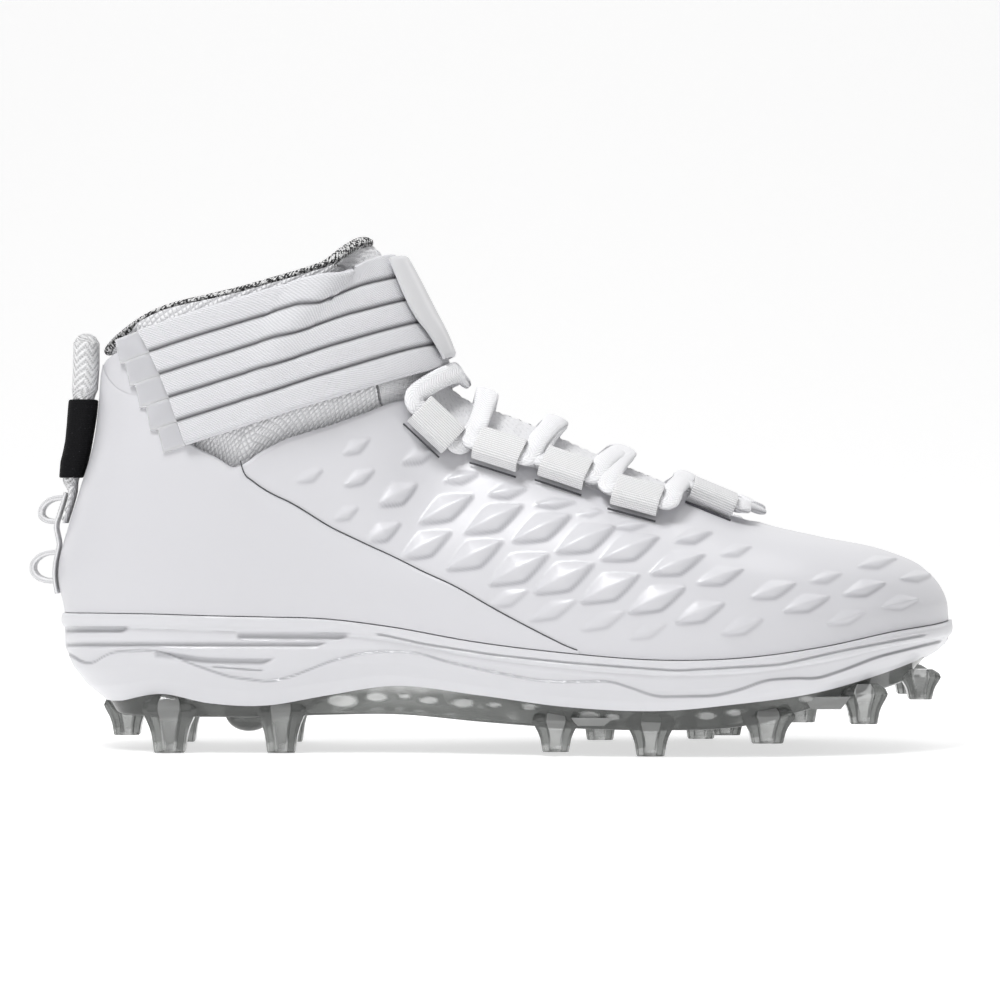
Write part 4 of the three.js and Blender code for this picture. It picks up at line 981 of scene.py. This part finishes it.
def build_anchor(side, material, word):
    levels, rise = strap_levels(STRAP_BANDS * 14 + 1)
    share = (levels - levels[0]) / rise
    segment = np.minimum(np.floor(share * STRAP_BANDS + 1e-6), STRAP_BANDS - 1)
    within = share * STRAP_BANDS - segment
    edge = STRAP_REAR[0] + (STRAP_REAR[1] - STRAP_REAR[0]) * share
    step = (segment + 0.5) / STRAP_BANDS
    step = 0.35 * step + 0.65 * share
    tail = STRAP_REAR[0] + (STRAP_REAR[1] - STRAP_REAR[0]) * step + 0.03 + (0.28 + 0.4 * step)
    along = np.linspace(-0.05, 1, 26)[:, None]
    station = edge + 0.03 + (tail - edge - 0.03) * along
    rim = np.minimum(np.minimum(within, 1 - within) * 7.4, (1 - along) * 8)
    bevel = np.clip(rim / 0.9, 0, 1)
    height = 0.45 + 0.5 * np.sqrt(np.clip(1 - (1 - bevel) ** 2, 0, 1))
    outer = band_point(levels[None], station, float(side), 0.85 + height)
    inner = band_point(levels[None], station, float(side), 0.7)
    form = Form()
    # The mark is high on the bevels and paints the highlight along the segment edges
    add_sheet(form, outer, inner, mark=1 - bevel + 0 * station)
    return form.make(f"clear_tab_{word}", material, "clear_tab", f"strap_anchor_{word}")


def loop_frame(row, side):
    rear, front, share = row
    middle = (rear + front) / 2
    along = unit(last_point(front, side, share) - last_point(rear, side, share))
    across = unit(np.cross(last_normal(middle, side, share), along))
    out = unit(np.cross(along, across))
    base = last_point(middle, side, share)
    spread = np.array([-0.08, 0, 0.08])
    footprint = last_point(np.array([rear, middle, front])[:, None], side, share + spread[None])
    rise = ((footprint - base) @ out).max()
    return base + out * (rise + 1.5 * CLEARANCE + LOOP_HALF), along, across, out


def racetrack(reach, half, corner, count=9):
    """Rounded rectangle, reach across by two halves high, as points in its plane."""
    points = []
    for cx, cy, start in ((1, -1, -90), (1, 1, 0), (-1, 1, 90), (-1, -1, 180)):
        for turn in np.radians(np.linspace(start, start + 90, count)):
            points.append([cx * (reach / 2 - corner) + corner * np.cos(turn),
                           cy * (half - corner) + corner * np.sin(turn)])
    return np.array(points)


def build_loop(row, side, material, name, node):
    centre, along, across, out = loop_frame(row, side)
    toward = -side
    outside = racetrack(LOOP_REACH, LOOP_HALF - 0.5, 2.2)
    inside = racetrack(LOOP_REACH - 2 * LOOP_WALL, LOOP_HALF - 0.5 - LOOP_WALL, 1.3)
    runs = np.concatenate([[-1, -0.985], np.linspace(-0.95, 0.95, 13), [0.985, 1]]) * LOOP_LENGTH / 2
    dips = np.concatenate([[0.35, 0.1], np.zeros(13), [0.1, 0.35]])
    form = Form()
    count = len(outside)

    def ring(flat, dip, inward):
        shape = flat * (1 - inward * dip / np.abs(flat).max(0))
        flap = np.clip(-toward * shape[:, :1] - LOOP_REACH * 0.2, 0, None)
        lowered = shape[:, 1:2] * (1 - 0.06 * flap)
        return across * shape[:, :1] + out * (lowered - 0.35)

    outer = np.stack([centre + along * run + ring(outside, dip, 1) for run, dip in zip(runs, dips)], 1)
    inner = np.stack([centre + along * run + ring(inside, dip, -1) for run, dip in zip(runs, dips)], 1)
    add_sheet(form, outer, inner, start=False, end=False, wrap=True)
    assert count == outer.shape[0]
    swapped = form.uvs[0][:, ::-1].copy()
    form.uvs[0] = swapped
    return form.make(name, material, "webbing", node)


def build_slits(material):
    # Thin dark tubes at the foot of each lace loop: painted shadow in the slits where the webbing leaves the shell
    form = Form()
    for side in (-1, 1):
        for row in LOOPS:
            centre, along, across, out = loop_frame(row, side)
            low = across * (LOOP_REACH / 2 + 0.1) * side
            ends = np.array([-0.52, -0.26, 0, 0.26, 0.52]) * LOOP_LENGTH
            rough = centre + low + along[None] * ends[:, None] - out * (LOOP_HALF + 0.2)
            centres = rough
            thick = np.broadcast_to(out, centres.shape)
            add_tube(form, centres, np.broadcast_to(across, centres.shape), thick, 0.2, 0.4, sides=8)
    return form.make("loop_slit_shadows", material, "shell")


def lace_route(first_side):
    reach = LOOP_LENGTH / 2 + 1.9
    points = []

    def over(station):
        normal = last_normal(np.array(station), -1, np.array(1.0))
        points.append([*offset_point(station, -1, 1.0, LACE_SEAT), *normal])

    side = first_side
    over(3.98)
    rows = LOOPS[::-1]
    for i, row in enumerate(rows):
        centre, along, across, out = loop_frame(row, side)
        last = i + 1 == len(rows)

        def beside(run, climb):
            points.append([*(centre + along * run - across * side * climb - out * 0.04 * climb), *out])

        beside(reach + 0.8, LOOP_REACH / 2 + 3.4)
        for share in (1, 0.6, 0, -0.6, -1):
            beside(share * reach, 0)
        beside(-reach - (1.8 if last else 0.8), 2.5 if last else LOOP_REACH / 2 + 3.4)
        if last:
            points.append([*offset_point(8.3, side, 0.93, LACE_SEAT + 1.5),
                           *last_normal(np.array(8.3), side, np.array(0.93))])
            over(8.08)
        else:
            over((row[0] + rows[i + 1][1]) / 2)
        side = -side
    return np.array(points)


def build_lace(material):
    form = Form()
    for first_side, lift in ((-1, 0.0), (1, 0.9)):
        curve = through(lace_route(first_side), 620)
        centres, out = curve[:, :3], unit(curve[:, 3:])
        along = tangents(centres)
        wide = unit(np.cross(out, along))
        thick = unit(np.cross(along, wide))
        near_ridge = smooth_step(-np.abs(centres[:, 1] - ORIGIN[1] - 6), -16, -6)
        centres = centres + thick * (lift * near_ridge)[:, None]
        add_tube(form, centres, wide, thick, LACE_WIDTH / 2 - 0.6 * (1 - near_ridge),
                 LACE_THICKNESS / 2, sides=22, square=0.86)
    return form.make("lace_cord", material, "lace", "lace", sharp=80)


def heel_back(z):
    z = np.atleast_1d(np.asarray(z, float))
    share = solve(0, 1, z, lambda v: last_point(HEEL_ROW, -1, v)[..., 2])
    return last_point(HEEL_ROW, -1, np.minimum(share, 0.96))[..., 0] - 0.5


def cord_sections(z, grow=0.0):
    table = np.array(CORD)
    gap, thick, width = (np.interp(z, table[:, 0], table[:, c]) for c in (1, 2, 3))
    x = heel_back(z) - gap - thick / 2
    centres = np.stack([x, np.zeros_like(z), z], -1)
    return centres, thick / 2 + grow, width / 2 + grow


def upright(count):
    return (np.broadcast_to([0.0, 1.0, 0.0], (count, 3)), np.broadcast_to([1.0, 0.0, 0.0], (count, 3)))


def build_pull_loop(cord, sleeve, stitch):
    z = np.concatenate([np.linspace(CORD[0][0], 134.5, 90), [135.4, 136.1, 136.8, 137.2, 137.6]])
    centres, thick, width = cord_sections(z)
    wide_axis, thick_axis = upright(len(z))
    body = Form()
    add_tube(body, centres, wide_axis, thick_axis, width, thick, sides=28, square=0.78)
    pieces = [body.make("pull_cord", cord, "cord", "pull_loop")]
    z = np.concatenate([[SLEEVE["low"]], np.linspace(SLEEVE["low"] + 0.3, SLEEVE["high"] - 0.3, 30),
                        [SLEEVE["high"]]])
    centres, thick, width = cord_sections(z)
    swell = 0.12 * np.sin(np.linspace(0, 9, len(z)))
    ease = np.concatenate([[-0.3], np.zeros(len(z) - 2), [-0.3]])
    wide_axis, thick_axis = upright(len(z))
    band = Form()
    angle = 2 * np.pi * np.arange(28) / 28
    grids = []
    for grow in (CLEARANCE + SLEEVE["wall"] + swell + ease, CLEARANCE * np.ones(len(z))):
        c, s = np.cos(angle), np.sin(angle)
        bend = lambda v: np.sign(v) * np.abs(v) ** 0.78  # noqa: E731
        ring = (centres[None] + wide_axis[None] * (bend(c)[:, None] * (width + grow)[None])[..., None]
                + thick_axis[None] * (bend(s)[:, None] * (thick + grow)[None])[..., None])
        grids.append(ring)
    add_sheet(band, grids[0], grids[1], start=False, end=False, wrap=True)
    pieces.append(band.make("pull_sleeve", sleeve, "sleeve", "pull_loop_sleeve"))
    threads = Form()
    for z0 in (75.6, 78.6):
        count = 48
        t = np.linspace(-1, 1, count)
        z = z0 + 1.1 * np.abs(((t * 5) % 1) * 2 - 1)
        centres, thick, width = cord_sections(z)
        centres = centres + np.stack([-(thick + 0.05), t * (width - 1.0), 0 * z], -1)
        along = tangents(centres)
        outward = np.broadcast_to([-1.0, 0.0, 0.0], along.shape)
        add_tube(threads, centres, unit(np.cross(outward, along)), outward, 0.28, 0.28, sides=8, square=1.0)
    pieces.append(threads.make("pull_stitches", stitch, "cord"))
    return pieces


def build_webbing(material):
    form = Form()
    half = WEB["wall"] / 2

    def face(z):
        return heel_back(z) - 2 * CLEARANCE - WEB["gap"] * smooth_step(z, 66, 75)

    def strip(x, z, thick):
        centres = np.stack([x, np.zeros_like(x), z], -1)
        wide = np.broadcast_to([0.0, 1.0, 0.0], centres.shape)
        flat = unit(np.cross(tangents(centres), wide))
        add_tube(form, centres, wide, flat, WEB["width"] / 2, thick, sides=32, square=0.35)

    z = np.linspace(WEB["low"], WEB["high"], 60)
    strip(face(z) - half * 0.8, z, half * 0.75)
    for middle, tall, reach in WEB_LOOPS:
        turn = np.linspace(0, np.pi, 40)
        z = middle - (tall - half) * np.cos(turn)
        strip(face(z) - half - (reach + half) * np.sin(turn) ** 0.75, z, half * 1.15)
    return form.make("heel_loops", material, "webbing", "heel_webbing", sharp=60)


def soft_line(points, px, reach=9):
    """Height in the view of a line through pixels, its corners rounded."""
    path = np.array(points, float)
    steps = np.linspace(-reach, reach, 7)
    return np.mean([np.interp(px + step, path[:, 0], path[:, 1]) for step in steps], axis=0)


def line_depth(px, py, points, width):
    """Share of a groove's depth near a line of the side view, its front end cut on a slant."""
    middle = soft_line(points, px)
    slant = px + 1.7 * (py - middle)
    ends = smooth_step(px, points[0][0] - 2,
                       points[0][0] + 2) * (1 - smooth_step(slant, points[-1][0] - 3, points[-1][0] + 3))
    return np.exp(-(((py - middle) / width) ** 4)) * ends


def add_sole(form, place, grid, mark=0.0):
    """Closed solid of stacked outlines, with strips from side to side below the first and above the last."""
    count, columns = grid.shape[:2]
    faces = [quads(count, columns, wrap=True)]
    k = np.arange(count // 2)
    after = k + 1
    mirror, mirror_after = (count - k) % count, (count - after) % count
    for column in (0, columns - 1):
        strip = np.stack([k, after, mirror_after, mirror], -1) * columns + column
        faces.append(strip[1:-1])
        tips = [[k[0], after[0], mirror_after[0]], [k[-1], after[-1], mirror[-1]]]
        faces.append(np.array(tips) * columns + column)
    form.add(grid, faces, lengths(grid), mark)


def build_midsole(material):
    place = np.linspace(0, RING_ROWS, 900, endpoint=False)
    s = sole_section(place)
    depth = np.linspace(1, 0, 64)
    wall = np.array([[1, 1], [0.82, 0.54], [0.62, 0.22], [0.4, 0.02]])
    rows = []
    for d in depth:
        z = s["feather"] + (s["parting"] - s["feather"]) * d
        drop = s["feather"] - z
        body = np.interp(d, wall[::-1, 0], wall[::-1, 1]) * s["parting_inset"] - SOLE_RIM * (1 - d) * 0.6
        bead = SOLE_RIM * (0.35 + 0.65 * np.sqrt(np.clip(1 - ((drop - 2.4) / 2.6) ** 2, 0, 1)))
        mix = smooth_step(drop, 4.9, 6.2)
        inset = -bead * (1 - mix) + np.minimum(body, body) * mix
        rows.append(sole_point(place, inset, z - np.where(d == 0, CLEARANCE, 0)))
    wall_grid = np.stack(rows, 1)
    normals = unit(np.cross(np.gradient(wall_grid, axis=0), np.gradient(wall_grid, axis=1)))
    outward = np.where((normals[..., :2]
                        * (wall_grid[..., :2] - wall_grid[..., :2].mean((0, 1)))).sum(-1) > 0, 1, -1)
    normals = normals * outward[..., None]
    px, py = view_pixels(wall_grid)
    height = np.zeros_like(px)
    dark = np.zeros_like(px)
    for points, width, deep in WALL_LINES:
        share = line_depth(px, py, points, width)
        height -= share * deep
        # Painted shade in each groove
        dark = np.maximum(dark, share * 0.5)
    middle = soft_line(WAVE, px)
    below = smooth_step(py - middle, -0.8, 0.8)
    height += 0.75 * below - 0.35
    # Painted shade along the step of the wave line
    dark = np.maximum(dark, 0.75 * np.exp(-(((py - middle) / 0.9) ** 2)))
    face = smooth_step(depth, 0.02, 0.1)[None]
    front = smooth_step(np.abs(wall_grid[..., 1] - ORIGIN[1]), 2, 8)
    wall_grid = wall_grid + normals * (height * face * front)[..., None]
    seat = s["feather"] - CLEARANCE
    floor = [sole_point(place, -0.5 * SOLE_RIM, seat), sole_point(place, SHELL_WALL + 0.8, seat),
             sole_point(place, SHELL_WALL + 3.2, seat - BED_DEPTH)]
    grid = np.concatenate([wall_grid, np.stack(floor, 1)], 1)
    mark = np.concatenate([dark * front, np.zeros((len(place), 3))], 1)
    form = Form()
    add_sole(form, place, grid, mark)
    return form.make("sole_wall", material, "midsole", "midsole", sharp=45)


def build_plate(material):
    place = np.linspace(0, RING_ROWS, 700, endpoint=False)
    s = sole_section(place)
    low_inset, low = s["under_inset"], s["under"]
    high_inset, high = s["parting_inset"] + CLEARANCE, s["parting"] - CLEARANCE
    grid = [sole_point(place, low_inset + 1.5, low), sole_point(place, low_inset + 0.6, low + 0.3)]
    for share in np.linspace(0, 1, 22):
        inset = low_inset + (high_inset - low_inset) * share
        grid.append(sole_point(place, inset, low + 1 + (high - low - 1) * share))
    grid = np.stack(grid, 1)
    px, py = view_pixels(grid)
    light = np.zeros_like(px)
    for x, y, half in WINDOWS:
        light = np.maximum(light, smooth_step(1 - ((px - x) / half) ** 2 - ((py - y) / (half * 0.42)) ** 2, 0.0, 0.5))
    fade = smooth_step(-py + np.interp(px, [60, 300, 560, 800, 950], [690, 688, 694, 690, 640]), -6, 6)
    outward = unit(grid - np.concatenate([grid[..., :2].mean((0, 1)), [0]]) * [1, 1, 0] - grid * [0, 0, 1])
    grid = grid + outward * (0.5 * light)[..., None]
    form = Form()
    add_sole(form, place, grid, np.maximum(light, fade))
    return form.make("clear_plate", material, "outsole", "outsole", sharp=45)


def plate_under(x):
    stations = np.linspace(0, HEEL_ROW, 61)
    nearest = stations[np.argmin(np.abs(ring_at(LAST_RING, stations)[:, 0] - x))]
    return float(sole_section(np.array(nearest))["under"])


def build_studs(material):
    form = Form()
    quarter = np.array(STUD_CORNERS)
    turns = [quarter, quarter[::-1] * [-1, 1], quarter * [-1, -1], quarter[::-1] * [1, -1]]
    outline = np.vstack(turns)
    rib = np.abs(outline[:, 1]) > 1
    sides = len(outline)
    ups = np.concatenate([[0, 0.03], np.linspace(0.1, 1.35, 16)])
    for x, y, length, width, tip in STUDS:
        x, y = x / 100 * SOLE_LENGTH, y / 100 * BALL_WIDTH
        tall = min(STUD_HEIGHT, plate_under(x) + 2.5 - tip)
        rings, marks = [], []
        for up in ups:
            long, broad = graph(STUD_LENGTHS, up), graph(STUD_WIDTHS, up)
            narrow = np.where(rib, 0.75 + 0.35 * up, 1)
            proud = np.where(rib, 1 - 0.15 * (up < 0.1), 1)
            px = outline[:, 0] * narrow * long * length / 2
            py = outline[:, 1] * proud * broad * width / 2
            rings.append(np.stack([x + px, y + py, np.full(sides, tip + up * tall)], -1))
            foot = 0.5 * (up < 0.22) * (np.arange(sides) % 3 == 0)
            # Painted highlight on the rib faces, stronger towards the tip, with lighter flecks at every third point
            # round the root
            marks.append(np.clip(0.55 * rib * (0.5 + 0.5 * up) + foot + 0.1, 0, 1))
        grid = np.stack(rings, 1)
        levels = len(ups)
        ends = [[[k * levels for k in range(sides)]], [[(k + 1) * levels - 1 for k in range(sides)][::-1]]]
        form.add(grid, [quads(sides, levels, wrap=True), *ends], lengths(grid),
                 np.stack(marks, 1).reshape(-1))
    for rear, front, low in BLADES:
        x = (rear + front) / 2
        stations = np.linspace(1, 10, 91)
        place = stations[np.argmin(np.abs(ring_at(LAST_RING, stations)[:, 0] - x))]
        section = sole_section(np.array(place))
        y = sole_point(np.array(place), section["under_inset"], 0 * section["under"])[1]
        high = float(section["under"]) + 4
        corners = [(rear, front, -1.6, 1.2, low), (rear - 1.2, front + 1.5, -2.4, 3, (low + high) / 2),
                   (rear - 2, front + 3, -3, 5, high)]
        grid = np.array([[[a, y + c, z], [b, y + c, z], [b, y + d, z], [a, y + d, z]] for a, b, c, d,
                         z in corners])
        grid = grid.transpose(1, 0, 2)
        ends = [[[k * 3 for k in range(4)]], [[k * 3 + 2 for k in range(4)][::-1]]]
        form.add(grid, [quads(4, 3, wrap=True), *ends], lengths(grid), 0.75)
    return form.make("clear_studs", material, "outsole", sharp=20)


def build_pod(material):
    form = Form()
    x = POD["x"] / 100 * SOLE_LENGTH
    under = plate_under(x)
    turn = np.linspace(0.06, np.pi / 2, 14)
    angle = 2 * np.pi * np.arange(40) / 40
    radius = POD["radius"] * np.sin(turn)
    z = under - POD["drop"] * np.cos(turn)
    radius = np.append(radius, POD["radius"])
    z = np.append(z, under + 1.5)
    grid = np.stack([x + np.cos(angle)[:, None] * radius[None], np.sin(angle)[:, None] * radius[None],
                     np.broadcast_to(z[None], (40, len(z)))], -1)
    ends = [[[k * len(z) for k in range(40)]], [[k * len(z) + len(z) - 1 for k in range(40)][::-1]]]
    form.add(grid, [quads(40, len(z), wrap=True), *ends], lengths(grid), 0.1)
    return form.make("clear_pod", material, "outsole")


def build_insole(material):
    place = np.linspace(0, RING_ROWS, 300, endpoint=False)
    s = sole_section(place)
    floor = s["feather"] - BED_DEPTH
    side = SHELL_WALL + 1.3
    rows = [(side + 2.6, floor), (side + 0.6, floor + 1.6), (side, s["feather"] + 0.3),
            (side + 0.5, s["feather"] + 1.0), (side + 1.6, floor + 4.5), (side + 3.5, floor + 3.9),
            (side + 6, floor + 3.5)]
    grid = np.stack([sole_point(place, inset, z) for inset, z in rows], 1)
    form = Form()
    add_sole(form, place, grid)
    return form.make("foot_bed", material, "insole", "insole")


shell = shell_material()
line = shadow_line_material()
knit = knit_material()
web = web_material()
film = film_material()
clear = clear_material()
white_cord = braid_material("cord", (0.86, 0.86, 0.87), 2.4, 3.0, 0.45, 0.6)
build_upper(shell, line)
build_collar(knit)
build_tongue(quilt_material())
build_binding(speckle_material())
build_strap(elastic_material())
build_end_tab(tab_material())
for word, side in (("lateral", -1), ("medial", 1)):
    build_anchor(side, film, word)
    for number, row in enumerate(LOOPS, 1):
        build_loop(row, side, web, f"webbing_loop_{word}_{number}", f"lace_loop_{word}_{number}")
build_slits(line)
build_lace(braid_material("lace", (0.9, 0.9, 0.92), 1.2, 2.0, 0.14, 0.86))
build_pull_loop(white_cord, sleeve_material(), white_cord)
build_webbing(web)
build_midsole(foam_material())
build_plate(clear)
build_studs(clear)
build_pod(clear)
build_insole(insole_material())


# The view, the lights and the pale floor

def add_camera():
    data = bpy.data.cameras.new("view")
    data.sensor_width = SENSOR
    data.lens = PIXELS_PER_MM * VIEW_DISTANCE / FRAME_SIDE * SENSOR
    data.clip_start = 0.05
    data.clip_end = 20
    camera = bpy.data.objects.new("view", data)
    camera.location = ((VIEW_ALONG - ORIGIN[0]) / 1000, -VIEW_DISTANCE / 1000, VIEW_HEIGHT / 1000)
    camera.rotation_euler = (np.pi / 2, 0, 0)
    bpy.context.scene.collection.objects.link(camera)
    bpy.context.scene.camera = camera


def add_light(name, place, aim, size, energy, color=(1, 1, 1)):
    data = bpy.data.lights.new(name, "AREA")
    data.shape = "RECTANGLE"
    data.size, data.size_y = size
    data.energy = energy
    data.color = color
    light = bpy.data.objects.new(name, data)
    light.location = place
    way = np.array(aim, float) - np.array(place, float)
    flat = float(np.hypot(way[0], way[1]))
    light.rotation_euler = (float(np.arctan2(flat, -way[2])), 0,
                            float(np.arctan2(way[1], way[0])) - np.pi / 2)
    bpy.context.scene.collection.objects.link(light)


def add_floor():
    """Pale floor that rises behind the shoe in one soft curve."""
    turn = np.linspace(0, np.pi / 2, 24)
    bend = 1.2
    profile = [(-4.0, 0.0), (1.0, 0.0)]
    profile += [(1.0 + bend * np.sin(t), bend * (1 - np.cos(t))) for t in turn[1:]]
    profile += [(1.0 + bend, 5.0)]
    points = [(x, y, z - 0.0002) for y, z in profile for x in (-5.0, 5.0)]
    faces = [(2 * i, 2 * i + 1, 2 * i + 3, 2 * i + 2) for i in range(len(profile) - 1)]
    mesh = bpy.data.meshes.new("floor")
    mesh.from_pydata(points, [], faces)
    for face in mesh.polygons:
        face.use_smooth = True
    material, tree, shader = start_material("floor", (0.6, 0.6, 0.6), 0.8)
    shader.inputs["Specular IOR Level"].default_value = 0.1
    shader.inputs["Emission Color"].default_value = (1, 1, 1, 1)
    shader.inputs["Emission Strength"].default_value = 0.62
    mesh.materials.append(material)
    floor = bpy.data.objects.new("floor", mesh)
    bpy.context.scene.collection.objects.link(floor)


def add_world():
    world = bpy.data.worlds.new("studio")
    world.use_nodes = True
    background = world.node_tree.nodes["Background"]
    background.inputs[0].default_value = (1, 1, 1, 1)
    background.inputs[1].default_value = 0.24
    bpy.context.scene.world = world


add_camera()
add_world()
add_floor()
add_light("key", (-0.4, -0.5, 1.25), (0, 0, 0.06), (0.5, 0.4), 13)
add_light("top", (0.35, 0.1, 1.3), (0, 0, 0.05), (0.8, 0.5), 3)
add_light("front", (0.2, -1.6, 0.55), (0, 0, 0.06), (1.2, 0.6), 2)
bpy.context.scene.view_settings.view_transform = "Standard"
